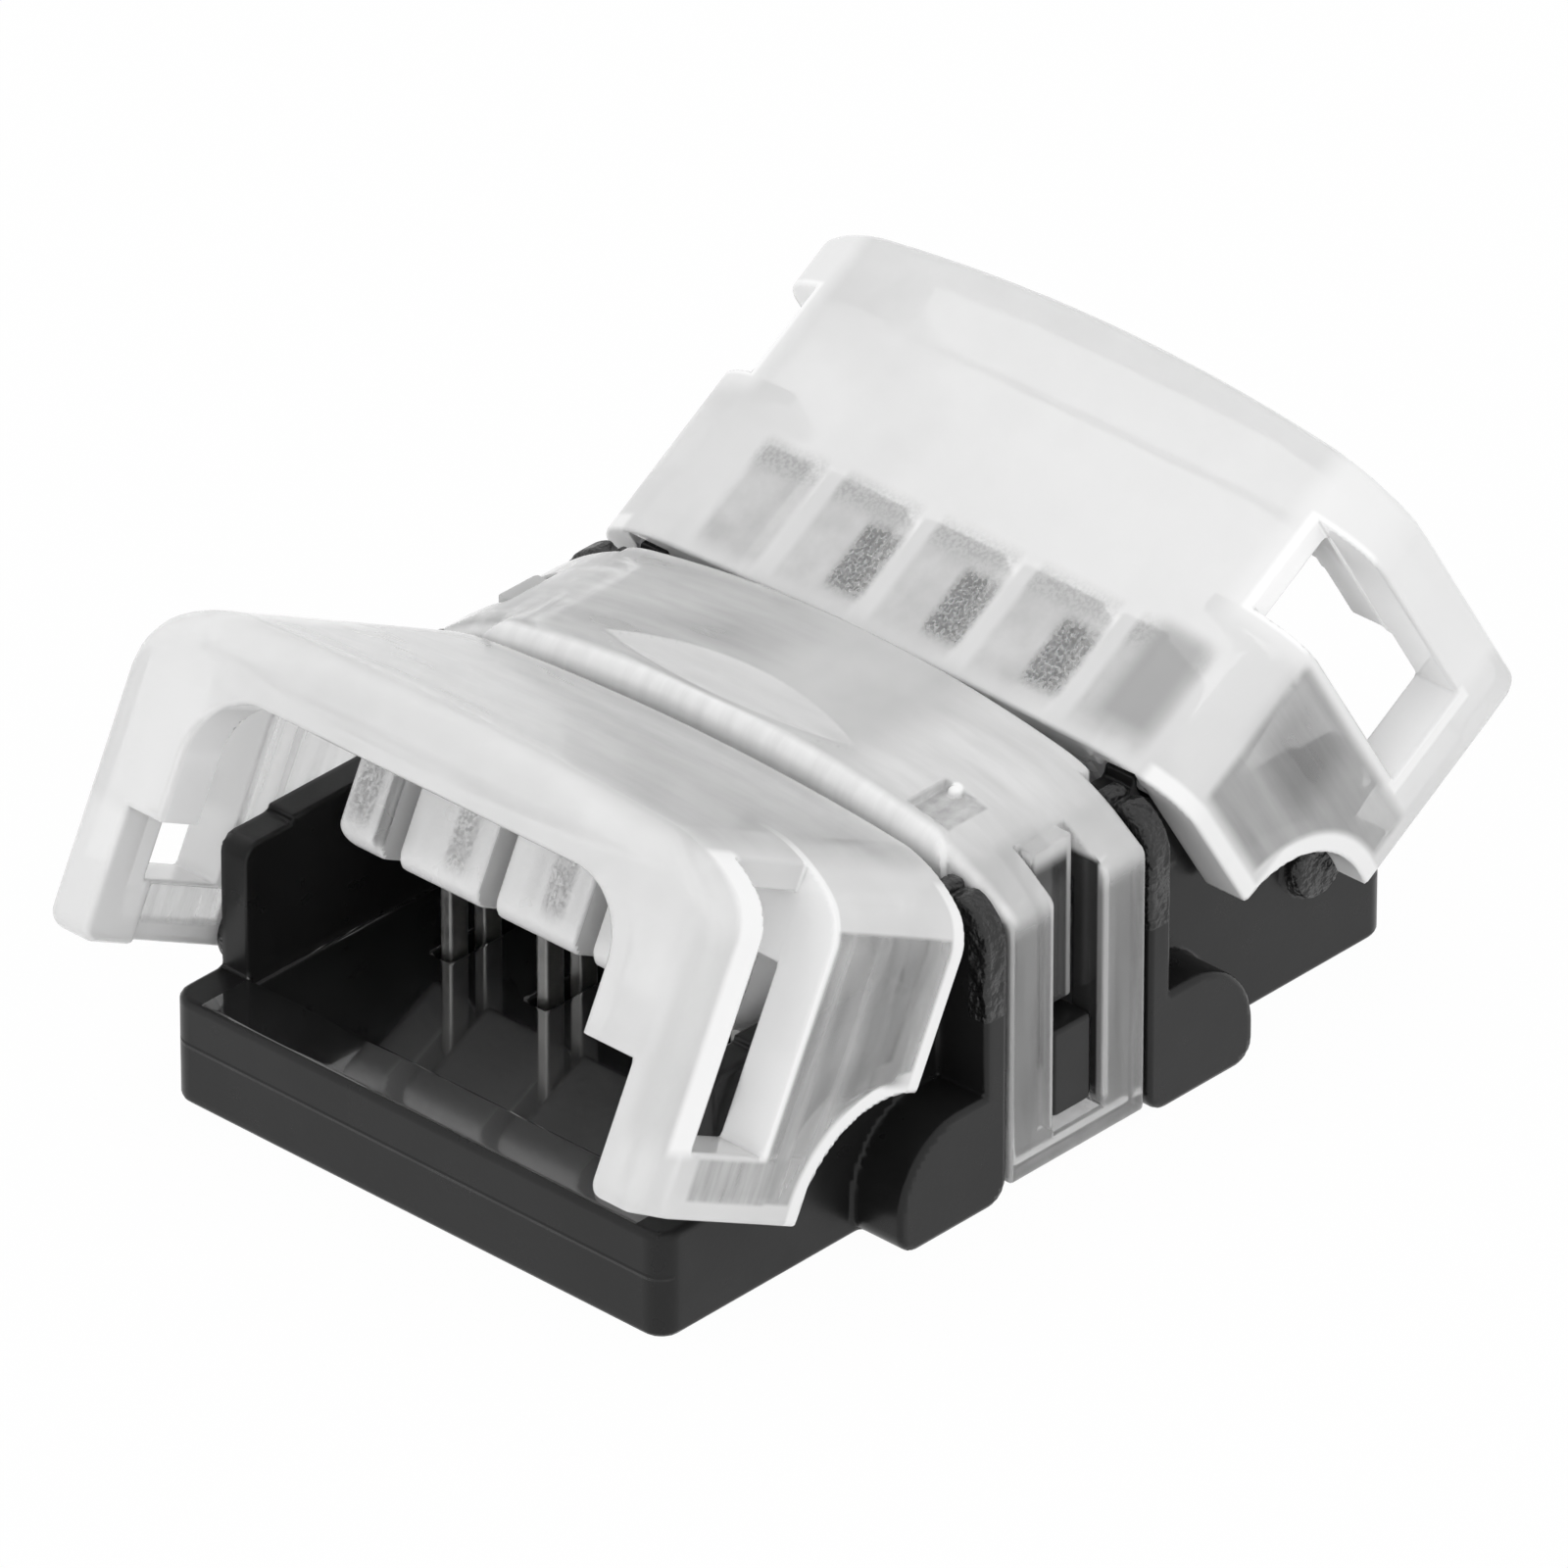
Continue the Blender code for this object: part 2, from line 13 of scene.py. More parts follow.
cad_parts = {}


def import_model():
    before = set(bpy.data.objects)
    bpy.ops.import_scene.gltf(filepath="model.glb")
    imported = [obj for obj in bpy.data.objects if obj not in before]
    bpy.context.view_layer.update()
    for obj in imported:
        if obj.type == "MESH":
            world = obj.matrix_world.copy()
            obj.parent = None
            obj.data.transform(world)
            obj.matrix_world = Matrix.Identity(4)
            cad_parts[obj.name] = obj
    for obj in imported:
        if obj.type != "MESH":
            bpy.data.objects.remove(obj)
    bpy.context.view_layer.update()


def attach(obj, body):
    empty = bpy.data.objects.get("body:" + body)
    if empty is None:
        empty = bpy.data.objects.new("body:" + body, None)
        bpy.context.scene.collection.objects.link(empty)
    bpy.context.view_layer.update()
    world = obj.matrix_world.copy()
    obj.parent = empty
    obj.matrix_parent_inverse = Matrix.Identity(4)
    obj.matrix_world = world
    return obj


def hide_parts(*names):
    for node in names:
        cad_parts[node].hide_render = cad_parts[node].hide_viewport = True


LOG = logging.getLogger("scene")
MM = 0.001
CONTACT_PITCH = 2.35
# Limits past the sides and the top, past the ends, and below the underside of every piece
FAR = 9.0
PAST_END = 20.0
DEEP = -3.0

Array = np.ndarray
Field = Callable[[Array, Array, Array], Array]


# Distance fields, in millimetres


def block(x: Array, y: Array, z: Array, low: tuple, high: tuple, rounding: float = 0.0) -> Array:
    """Distance to a box.

    Args:
        x, y, z: Points.
        low: Lowest corner.
        high: Highest corner.
        rounding: Radius of its edges.

    Returns:
        Signed distance, negative inside.
    """
    parts = []
    for value, lo, hi in zip((x, y, z), low, high):
        parts.append(np.abs(value - (lo + hi) / 2) - ((hi - lo) / 2 - rounding))
    outside = np.sqrt(sum(np.maximum(part, 0.0) ** 2 for part in parts))
    inside = np.minimum(np.maximum(np.maximum(parts[0], parts[1]), parts[2]), 0.0)
    return outside + inside - rounding


def area(a: Array, b: Array, low: tuple, high: tuple, rounding: float = 0.0) -> Array:
    """Distance to a rectangle in two coordinates, with round corners.

    Args:
        a, b: Points.
        low: Lowest corner.
        high: Highest corner.
        rounding: Radius of its corners.

    Returns:
        Signed distance, negative inside.
    """
    da = np.abs(a - (low[0] + high[0]) / 2) - ((high[0] - low[0]) / 2 - rounding)
    db = np.abs(b - (low[1] + high[1]) / 2) - ((high[1] - low[1]) / 2 - rounding)
    outside = np.sqrt(np.maximum(da, 0.0) ** 2 + np.maximum(db, 0.0) ** 2)
    return outside + np.minimum(np.maximum(da, db), 0.0) - rounding


def meet(a: Array, b: Array, radius: float) -> Array:
    """What two fields share, with the edge between them rounded."""
    corner = np.sqrt(np.maximum(radius + a, 0.0) ** 2 + np.maximum(radius + b, 0.0) ** 2)
    return np.minimum(-radius, np.maximum(a, b)) + corner


def join(a: Array, b: Array, radius: float) -> Array:
    """Two fields as one body, with a fillet between them."""
    return -meet(-a, -b, radius)


def carve(a: Array, b: Array, radius: float) -> Array:
    """The first field without the second, with the new edges rounded."""
    return meet(a, -b, radius)


def share_between(value: Array, limits: tuple) -> Array:
    """How far values lie from a low limit to a high one, from 0 to 1."""
    low, high = limits
    return np.clip((value - low) / (high - low), 0.0, 1.0)


def slope(a: Array, b: Array, start: tuple, end: tuple) -> Array:
    """Distance to the straight line through two points.

    Args:
        a, b: Points.
        start: One point of the line.
        end: The other.

    Returns:
        Signed distance, positive to the right of the way from start to end.
    """
    run, rise = end[0] - start[0], end[1] - start[1]
    length = math.hypot(run, rise)
    return ((a - start[0]) * rise - (b - start[1]) * run) / length


# Meshes from fields


@dataclass
class Skin:
    """A mesh laid over a field's surface: points, four-sided faces and normals, in millimetres."""

    points: Array
    faces: Array
    normals: Array


# Steps over which slopes and normals are taken, in cells, and the least sizes divided by
SLOPE_STEP = 0.1
NORMAL_STEP = 0.3
LEAST_STEEPNESS = 0.3
LEAST_LENGTH = 1e-6
# A cell's corners and the pairs of them that an edge joins
CORNERS = np.array([(i & 1, i >> 1 & 1, i >> 2 & 1) for i in range(8)])
EDGES = [(a, b) for a in range(8) for b in range(a + 1, 8) if bin(a ^ b).count("1") == 1]


def gradient(shape: Field, points: Array, step: float) -> Array:
    """Slope of a field at points, from differences over a small step.

    Args:
        shape: The field.
        points: Where it is wanted.
        step: The step each way.

    Returns:
        The slope along each axis.
    """
    made = np.zeros_like(points)
    for axis in range(3):
        ahead, behind = points.copy(), points.copy()
        ahead[:, axis] += step
        behind[:, axis] -= step
        made[:, axis] = (shape(*ahead.T) - shape(*behind.T)) / (2 * step)
    return made


def cell_points(values: Array, cells: Array) -> Array:
    """Places one point in each cell that the surface passes through.

    Args:
        values: The field on a grid.
        cells: Indices of the cells.

    Returns:
        Points in grid units.
    """
    found = np.stack([values[tuple((cells + corner).T)] for corner in CORNERS], axis=1)
    total = np.zeros((len(cells), 3))
    number = np.zeros(len(cells))
    for a, b in EDGES:
        first, second = found[:, a], found[:, b]
        crossed = (first < 0) != (second < 0)
        share = np.where(crossed, first / np.where(crossed, first - second, 1.0), 0.0)
        place = CORNERS[a] + share[:, None] * (CORNERS[b] - CORNERS[a])
        total += np.where(crossed[:, None], place, 0.0)
        number += crossed
    return cells + total / number[:, None]


def cell_faces(inside: Array, ids: Array) -> Array:
    """Joins the points of neighbouring cells with four-sided faces that look outwards.

    Args:
        inside: Which grid points lie in the body.
        ids: The point number of each cell.

    Returns:
        Rows of four point numbers.
    """
    rows = []
    for axis in range(3):
        first = np.take(inside, range(inside.shape[axis] - 1), axis)
        second = np.take(inside, range(1, inside.shape[axis]), axis)
        crossed = np.argwhere(first != second)
        e, f = (axis + 1) % 3, (axis + 2) % 3
        quad = []
        for de, df in ((-1, -1), (0, -1), (0, 0), (-1, 0)):
            cell = crossed.copy()
            cell[:, e] += de
            cell[:, f] += df
            quad.append(ids[tuple(cell.T)])
        quad = np.stack(quad, axis=1)
        flip = second[tuple(crossed.T)]
        quad[flip] = quad[flip][:, ::-1]
        rows.append(quad)
    return np.concatenate(rows)


def skin_over(shape: Field, low: tuple, high: tuple, pitch: float) -> Skin:
    """Lays a mesh over the surface of a field.

    Args:
        shape: The field.
        low: Lowest corner of the space it lies in.
        high: Highest corner.
        pitch: Size of the mesh's cells.

    Returns:
        The mesh, with its points moved onto the surface.
    """
    axes = []
    for lo, hi in zip(low, high):
        first = math.floor(lo / pitch) - 2
        last = math.ceil(hi / pitch) + 3
        axes.append((np.arange(first, last) + 0.5) * pitch)
    values = shape(*np.meshgrid(*axes, indexing="ij"))
    inside = values < 0
    sizes = [n - 1 for n in values.shape]
    count = sum(
        inside[i : i + sizes[0], j : j + sizes[1], k : k + sizes[2]].astype(np.int8)
        for i, j, k in CORNERS
    )
    cells = np.argwhere((count > 0) & (count < 8))
    ids = np.full(sizes, -1, np.int64)
    ids[tuple(cells.T)] = np.arange(len(cells))
    origin = np.array([axis[0] for axis in axes])
    points = origin + pitch * cell_points(values, cells)
    for _ in range(2):
        lean = gradient(shape, points, pitch * SLOPE_STEP)
        steep = np.maximum((lean**2).sum(1), LEAST_STEEPNESS)
        move = np.clip(shape(*points.T) / steep, -pitch / 2, pitch / 2)
        points -= move[:, None] * lean
    lean = gradient(shape, points, pitch * NORMAL_STEP)
    size = np.maximum(np.linalg.norm(lean, axis=1), LEAST_LENGTH)
    return Skin(points, cell_faces(inside, ids), lean / size[:, None])


# Finishes


# The range that a noise texture's values mostly keep to, and specks per millimetre
SPREAD = (0.3, 0.7)
SPECKLE = 13.0
# Strength of a parting line's relief, and its height in metres
SEAM_STRENGTH = 0.8
SEAM_HEIGHT = 0.00003


@dataclass(frozen=True)
class Grain:
    """A fine unevenness: its scale per millimetre, how strong it is and how deep, in metres."""

    scale: float
    strength: float
    depth: float
    detail: float = 3.0


class NodeBench:
    """Places shader nodes in one material."""

    def __init__(self, name: str) -> None:
        """Starts a plain material.

        Args:
            name: Its name.
        """
        self.material = bpy.data.materials.new(name)
        self.material.use_nodes = True
        self.tree = self.material.node_tree
        self.shader = self.tree.nodes["Principled BSDF"]
        self.place = self.tree.nodes.new("ShaderNodeTexCoord").outputs["Object"]
        split = self.tree.nodes.new("ShaderNodeSeparateXYZ")
        self.tree.links.new(self.place, split.inputs["Vector"])
        self.along = split.outputs["X"]
        self.side = split.outputs["Y"]
        self.across = self.sum("ABSOLUTE", self.side)
        self.up = split.outputs["Z"]

    def sum(self, operation: str, first: object, second: object = 0.0) -> object:
        """Works out one sum.

        Args:
            operation: The Math node's own name for it.
            first: Socket or number.
            second: Socket or number.

        Returns:
            The result's socket.
        """
        node = self.tree.nodes.new("ShaderNodeMath")
        node.operation = operation
        for slot, value in enumerate((first, second)):
            if isinstance(value, (int, float)):
                node.inputs[slot].default_value = value
            else:
                self.tree.links.new(value, node.inputs[slot])
        return node.outputs[0]

    def mix(self, first: object, second: object, share: object) -> object:
        """Goes from the first value to the second as share goes from 0 to 1."""
        change = self.sum("MULTIPLY", self.sum("SUBTRACT", second, first), share)
        return self.sum("ADD", first, change)

    def put(self, socket: str, value: object) -> None:
        """Sets a constant on the shader."""
        self.shader.inputs[socket].default_value = value

    def noise(self, scale: float, detail: float = 3.0, stretch: tuple = (1, 1, 1)) -> object:
        """Adds a noise texture.

        Args:
            scale: Cells per millimetre.
            detail: Number of finer layers.
            stretch: How much denser it is along each axis.

        Returns:
            Its value socket.
        """
        mapping = self.tree.nodes.new("ShaderNodeMapping")
        mapping.inputs["Scale"].default_value = [s * scale / MM for s in stretch]
        self.tree.links.new(self.place, mapping.inputs["Vector"])
        texture = self.tree.nodes.new("ShaderNodeTexNoise")
        texture.inputs["Scale"].default_value = 1.0
        texture.inputs["Detail"].default_value = detail
        self.tree.links.new(mapping.outputs["Vector"], texture.inputs["Vector"])
        return texture.outputs["Fac"]

    def ramp(self, value: object, low: tuple, high: tuple, smooth: bool = False) -> object:
        """Maps a value from one range to another.

        Args:
            value: Socket to map.
            low: Range it comes in, as two numbers.
            high: Range it goes out in.
            smooth: Whether it eases in and out.

        Returns:
            The mapped socket.
        """
        node = self.tree.nodes.new("ShaderNodeMapRange")
        node.interpolation_type = "SMOOTHSTEP" if smooth else "LINEAR"
        node.inputs["From Min"].default_value = low[0]
        node.inputs["From Max"].default_value = low[1]
        node.inputs["To Min"].default_value = high[0]
        node.inputs["To Max"].default_value = high[1]
        self.tree.links.new(value, node.inputs["Value"])
        return node.outputs["Result"]

    def between(self, value: object, limits: tuple) -> object:
        """Is 1 between two limits and fades to 0 beyond them.

        Args:
            value: Socket, in metres.
            limits: Low limit, high limit and half the width of the fade, in millimetres.

        Returns:
            The socket.
        """
        low, high, soft = (limit * MM for limit in limits)
        rise = self.ramp(value, (low - soft, low + soft), (0.0, 1.0), True)
        fall = self.ramp(value, (high - soft, high + soft), (1.0, 0.0), True)
        return self.sum("MULTIPLY", rise, fall)

    def colours(self, value: object, stops: list) -> object:
        """Maps a value to a run of colours.

        Args:
            value: Socket to map.
            stops: Pairs of position and colour.

        Returns:
            The colour socket.
        """
        node = self.tree.nodes.new("ShaderNodeValToRGB")
        ramp = node.color_ramp
        while len(ramp.elements) < len(stops):
            ramp.elements.new(0.5)
        for element, (position, colour) in zip(ramp.elements, stops):
            element.position = position
            element.color = (*colour, 1.0)
        self.tree.links.new(value, node.inputs["Fac"])
        return node.outputs["Color"]

    def feed(self, value: object, socket: str) -> None:
        """Links a value to the shader."""
        self.tree.links.new(value, self.shader.inputs[socket])

    def bump(self, grains: tuple, seam: object = None) -> None:
        """Stacks fine unevennesses on the shader's normal.

        Args:
            grains: The unevennesses.
            seam: Socket that is 1 on a fine raised line, or None.
        """
        last = None
        if seam is not None:
            node = self.tree.nodes.new("ShaderNodeBump")
            node.inputs["Strength"].default_value = SEAM_STRENGTH
            node.inputs["Distance"].default_value = SEAM_HEIGHT
            self.tree.links.new(seam, node.inputs["Height"])
            last = node.outputs["Normal"]
        for grain in grains:
            node = self.tree.nodes.new("ShaderNodeBump")
            node.inputs["Strength"].default_value = grain.strength
            node.inputs["Distance"].default_value = grain.depth
            self.tree.links.new(self.noise(grain.scale, grain.detail), node.inputs["Height"])
            if last is not None:
                self.tree.links.new(last, node.inputs["Normal"])
            last = node.outputs["Normal"]
        if last is not None:
            self.feed(last, "Normal")


@dataclass(frozen=True)
class BlackPlastic:
    """Moulded black plastic, from polished to spark-textured.

    Attributes:
        name: Name of the material.
        shade: Its mean grey.
        roughness: Lowest and highest roughness.
        grains: Its fine unevennesses.
        specular: Strength of its mirror reflection.
        coat: Strength of a gloss over it.
        parting: Height of the mould's parting line and half the line's width, in millimetres.
        parting_ends: Where the line fades in towards each end, in millimetres from the middle.
    """

    name: str
    shade: float
    roughness: tuple
    grains: tuple
    specular: float = 0.5
    coat: float = 0.0
    parting: tuple = (1.23, 0.03)
    parting_ends: tuple = (9.1, 9.3)

    def make(self) -> bpy.types.Material:
        """Builds the material.

        Returns:
            The material.
        """
        bench = NodeBench(self.name)
        cloud = bench.noise(0.35, 4.0)
        dark, light = self.shade * 0.8, self.shade * 1.25
        stops = [(SPREAD[0], (dark, dark, dark)), (SPREAD[1], (light, light, light * 1.02))]
        bench.feed(bench.colours(cloud, stops), "Base Color")
        bench.feed(bench.ramp(bench.noise(1.3), SPREAD, self.roughness), "Roughness")
        bench.put("Specular IOR Level", self.specular)
        bench.put("Coat Weight", self.coat)
        height, half = self.parting
        seam = bench.between(bench.up, (height - half, height + half, half))
        start, full = (end * MM for end in self.parting_ends)
        ends = bench.ramp(bench.sum("ABSOLUTE", bench.along), (start, full), (0.0, 1.0))
        bench.bump(self.grains, bench.sum("MULTIPLY", seam, ends))
        return bench.material


@dataclass(frozen=True)
class Zone:
    """A soft-edged region of a clear piece that is clearer, cloudier or greyer than the rest, or
    painted whiter as a highlight or to brighten a face in shade.

    Each limit is low, high and half the width of the fade, in the piece's own millimetres.

    Attributes:
        milk: How milky the plastic is inside, from 0 for clear to 1 for white.
        along: Limits along the piece.
        across: Limits from its middle plane to either side.
        side: Limits from its middle plane, with the sign of the side.
        up: Limits of height.
        row: A pattern across the piece: its middle, spacing, half-width and fade.
        ring: A band about a point in the side view: its x and z, low and high radius, and fade.
        discs: Circles in the top view whose shared area counts: x, y and radius of each.
        disc_fade: Half the width of the circles' fade.
        tone: Grey of the plastic inside, or 0 to keep the piece's own.
        specks: Strength of fine speckles.
        streaks: Strength of drawn-out streaks.
        grain: How much denser the streaks are along each axis.
        grain_scale: Streaks per millimetre.
    """

    milk: float
    along: tuple = ()
    across: tuple = ()
    side: tuple = ()
    up: tuple = ()
    row: tuple = ()
    ring: tuple = ()
    discs: tuple = ()
    disc_fade: float = 0.04
    tone: float = 0.0
    specks: float = 0.0
    streaks: float = 0.0
    grain: tuple = (1.0, 1.0, 1.0)
    grain_scale: float = 4.0

    def mask(self, bench: NodeBench) -> object:
        """Works out where the zone is.

        Args:
            bench: The material's bench.

        Returns:
            A socket that is 1 inside the zone.
        """
        found = 1.0
        coordinates = (bench.along, bench.across, bench.side, bench.up)
        for value, limits in zip(coordinates, (self.along, self.across, self.side, self.up)):
            if limits:
                found = bench.sum("MULTIPLY", found, bench.between(value, limits))
        if self.row:
            middle, spacing, half, soft = self.row
            place = bench.sum("SUBTRACT", bench.side, middle * MM)
            place = bench.sum("PINGPONG", place, spacing / 2 * MM)
            found = bench.sum("MULTIPLY", found, bench.between(place, (-FAR, half, soft)))
        if self.ring:
            x, z, low, high, soft = self.ring
            away = self.reach(bench, bench.up, x, z)
            found = bench.sum("MULTIPLY", found, bench.between(away, (low, high, soft)))
        for x, y, radius in self.discs:
            away = self.reach(bench, bench.side, x, y)
            limits = (-FAR, radius, self.disc_fade)
            found = bench.sum("MULTIPLY", found, bench.between(away, limits))
        return found

    def reach(self, bench: NodeBench, other: object, x: float, second: float) -> object:
        """Distance from a point in the side view or the top view.

        Args:
            bench: The material's bench.
            other: Socket of the second coordinate.
            x: The point's place along the piece, in millimetres.
            second: Its other coordinate, in millimetres.

        Returns:
            The distance's socket, in metres.
        """
        first = bench.sum("SUBTRACT", bench.along, x * MM)
        other = bench.sum("SUBTRACT", other, second * MM)
        squares = [bench.sum("MULTIPLY", value, value) for value in (first, other)]
        return bench.sum("SQRT", bench.sum("ADD", *squares))

    def value(self, bench: NodeBench) -> object:
        """Works out how milky the plastic is inside the zone.

        Args:
            bench: The material's bench.

        Returns:
            A number, or a socket where it varies.
        """
        made = self.milk
        if self.streaks:
            noise = bench.noise(self.grain_scale, 3.0, self.grain)
            change = bench.ramp(noise, SPREAD, (-self.streaks, self.streaks))
            made = bench.sum("ADD", made, change)
        if self.specks:
            noise = bench.noise(SPECKLE, 2.0)
            change = bench.ramp(noise, (0.40, 0.60), (-self.specks, self.specks))
            made = bench.sum("ADD", made, change)
        return made


@dataclass(frozen=True)
class ClearPlastic:
    """Clear moulded plastic, milky to some degree, polished or textured.

    Attributes:
        name: Name of the material.
        tint: Its mean grey.
        roughness: Lowest and highest roughness.
        grains: Its fine unevennesses.
        milk: How milky it is, from 0 for clear to 1 for white.
        cloud: How far that varies.
        zones: Regions that differ, each over the ones before it.
        ior: Index of refraction.
    """

    name: str
    tint: float
    roughness: tuple
    grains: tuple
    milk: float = 0.0
    cloud: float = 0.0
    zones: tuple = ()
    ior: float = 1.5

    def make(self) -> bpy.types.Material:
        """Builds the material.

        Returns:
            The material.
        """
        bench = NodeBench(self.name)
        low, high = self.tint - 0.02, self.tint + 0.015
        tone = bench.ramp(bench.noise(0.25, 2.0), SPREAD, (low, high))
        bench.feed(bench.ramp(bench.noise(0.8), SPREAD, self.roughness), "Roughness")
        limits = (self.milk - self.cloud, self.milk + self.cloud)
        milk = bench.ramp(bench.noise(0.3, 3.0), (0.35, 0.65), limits, True)
        for zone in self.zones:
            mask = zone.mask(bench)
            milk = bench.mix(milk, zone.value(bench), mask)
            if zone.tone:
                tone = bench.mix(tone, zone.tone, mask)
        bench.feed(tone, "Base Color")
        bench.feed(bench.ramp(milk, (0.0, 1.0), (1.0, 0.0)), "Transmission Weight")
        bench.put("IOR", self.ior)
        bench.bump(self.grains)
        return bench.material


@dataclass(frozen=True)
class Plating:
    """Bright tin plating on stamped metal.

    Attributes:
        name: Name of the material.
        shade: Its mean grey.
        roughness: Lowest and highest roughness.
    """

    name: str
    shade: float
    roughness: tuple

    def make(self) -> bpy.types.Material:
        """Builds the material.

        Returns:
            The material.
        """
        bench = NodeBench(self.name)
        cloud = bench.noise(2.0, 4.0)
        low, high = self.shade * 0.85, self.shade * 1.1
        stops = [(SPREAD[0], (low, low, low * 0.98)), (SPREAD[1], (high, high * 0.99, high * 0.97))]
        bench.feed(bench.colours(cloud, stops), "Base Color")
        bench.put("Metallic", 1.0)
        bench.feed(bench.ramp(bench.noise(6.0), SPREAD, self.roughness), "Roughness")
        bench.bump((Grain(8.0, 0.3, 0.00001),))
        return bench.material


# Places and grains that several zones share
SKIRT = (5.9, FAR, 0.1)
OUTSIDE = (6.3, FAR, 0.1)
COVER_TOP = (6.4, FAR, 0.1)
COVER_SIDE = (7.0, FAR, 0.1)
ARC = (2.8, 0.9)
VERTICAL = (3.0, 1.0, 0.3)
SIDEWAYS = (2.5, 0.35, 1.0)
LENGTHWISE = (1.5, 0.5, 1.0)
LENS = ((-8.43, 0.3, 8.0), (10.32, 0.3, 11.75))
GATE_DOT = ((-0.51, -4.63, 0.14),)
RIB_SHIFT = -0.72

# The clear panel in the front lid's skirts, its clearest part and the strip under the window
PANELS = (
    Zone(
        0.24, (3.2, 6.4, 0.10), SKIRT, up=(0.9, 5.92, 0.05), ring=(*ARC, 2.62, PAST_END, 0.05),
        streaks=0.10, grain=VERTICAL, grain_scale=0.8,
    ),
    Zone(
        0.14, (3.5, 4.7, 0.3), SKIRT, up=(2.6, 5.6, 0.4),
        streaks=0.08, grain=VERTICAL, grain_scale=1.2,
    ),
    Zone(
        0.36, (6.1, 8.3, 0.08), SKIRT, up=(0.87, 1.65, 0.05),
        streaks=0.10, grain=VERTICAL, grain_scale=1.6,
    ),
)

# The same panel in the back lid, greyer, with its darkest part
BACK_PANEL = (
    Zone(
        0.48, (3.3, 6.3, 0.15), SKIRT, up=(0.9, 5.85, 0.12), ring=(*ARC, 2.62, PAST_END, 0.08),
        tone=0.66, streaks=0.08, grain=VERTICAL, grain_scale=0.8,
    ),
    Zone(
        0.40, (4.6, 6.0, 0.4), SKIRT, up=(3.4, 5.6, 0.6),
        tone=0.42, streaks=0.08, grain=VERTICAL, grain_scale=1.2,
    ),
)

# Painted highlights: the skirts' rims, at the hinge and round the arc, painted white for the bright
# light along their clear edges
RIM_HIGHLIGHTS = (
    Zone(0.95, (2.0, 3.15, 0.06), OUTSIDE, up=(2.9, FAR, 0.1)),
    Zone(0.95, (), OUTSIDE, up=(0.0, 3.2, 0.1), ring=(*ARC, 2.1, 2.55, 0.05)),
)

FRONT_ZONES = (
    # Top
    Zone(
        0.56, (3.0, 9.4, 0.5), (-1.0, 5.8, 0.5), up=(6.4, FAR, 0.2),
        tone=0.74, streaks=0.10, grain=LENGTHWISE, grain_scale=0.45,
    ),
    # Clearer band along the upper edge of the end
    Zone(
        0.48, (8.6, 9.6, 0.4), side=(-4.5, 5.5, 1.5), up=(6.4, FAR, 0.3),
        streaks=0.06, grain=LENGTHWISE, grain_scale=0.6,
    ),
    # Far side, and its foot
    Zone(0.66, side=(-FAR, -4.9, 0.35), along=(6.0, PAST_END, 0.3), tone=0.95),
    Zone(0.74, side=(-FAR, -5.2, 0.3), up=(0.0, 3.0, 0.2), tone=0.96),
    # Corner of the mouth painted white as painted light on a face in shade, and the white edge below
    # it
    Zone(1.00, (8.5, 9.62, 0.05), side=(-5.6, -4.0, 0.15), up=(2.9, 5.8, 0.1), tone=1.0),
    Zone(1.00, (8.5, 9.0, 0.04), side=(-6.3, -5.9, 0.05), up=(1.6, 2.9, 0.1)),
    # Clearer near corner of the end
    Zone(0.55, (9.3, PAST_END, 0.15), side=(6.5, FAR, 0.2), up=(1.8, 5.7, 0.4)),
    # Painted light: the post beside the near window, the side of the outer rib and the window's other
    # post, painted white to brighten faces that lie in shade
    Zone(1.00, (8.5, 9.25, 0.12), side=(5.9, FAR, 0.1), up=(1.7, 7.0, 0.15)),
    Zone(1.00, (2.0, 5.5, 0.1), side=(4.6, 5.2, 0.05), up=(3.0, 6.2, 0.1)),
    Zone(0.98, (6.4, 6.62, 0.04), side=(4.8, FAR, 0.1), up=(1.7, 7.0, 0.1)),
) + PANELS + RIM_HIGHLIGHTS


def back_zones(shift: float) -> tuple:
    """The back lid's zones, with the patches in its top under which the ribs are seen.

    Args:
        shift: How far the ribs look shifted towards the piece's left.

    Returns:
        The zones.
    """
    top = (6.15, FAR, 0.1)
    wide = (shift - 5.3, shift + 5.3, 0.15)
    row = (shift, CONTACT_PITCH, 0.94, 0.10)
    strips = (shift - 0.55, CONTACT_PITCH, 0.42, 0.12)
    inner = (shift - 3.6, shift + 2.6, 0.05)
    nearest = (shift - 5.25, shift - 4.15, 0.25)
    return (
        # Skirts and end
        Zone(0.92, (6.2, PAST_END, 0.3), (5.7, FAR, 0.3), up=(1.7, FAR, 0.3), tone=0.90),
        # Patches, their upper edges, the speckled strips in the inner ones, and the nearest one
        Zone(0.54, (3.1, 5.3, 0.25), side=wide, up=top, row=row, streaks=0.06, grain_scale=1.5),
        Zone(0.42, (4.90, 5.40, 0.22), side=wide, up=top, row=row, specks=0.05),
        Zone(0.16, (3.35, 4.75, 0.18), side=inner, up=top, row=strips, specks=0.12),
        Zone(0.66, (3.4, 5.5, 0.25), side=nearest, up=top, tone=0.53),
        # Inner faces of the windows painted white as painted light on faces that lie in shade, and
        # the white sill
        Zone(1.00, (6.45, 8.65, 0.05), (5.9, 7.05, 0.06), up=(1.6, 6.9, 0.1), tone=1.0),
        Zone(1.00, (6.4, 8.7, 0.05), SKIRT, up=(1.5, 1.85, 0.05)),
    ) + BACK_PANEL + RIM_HIGHLIGHTS


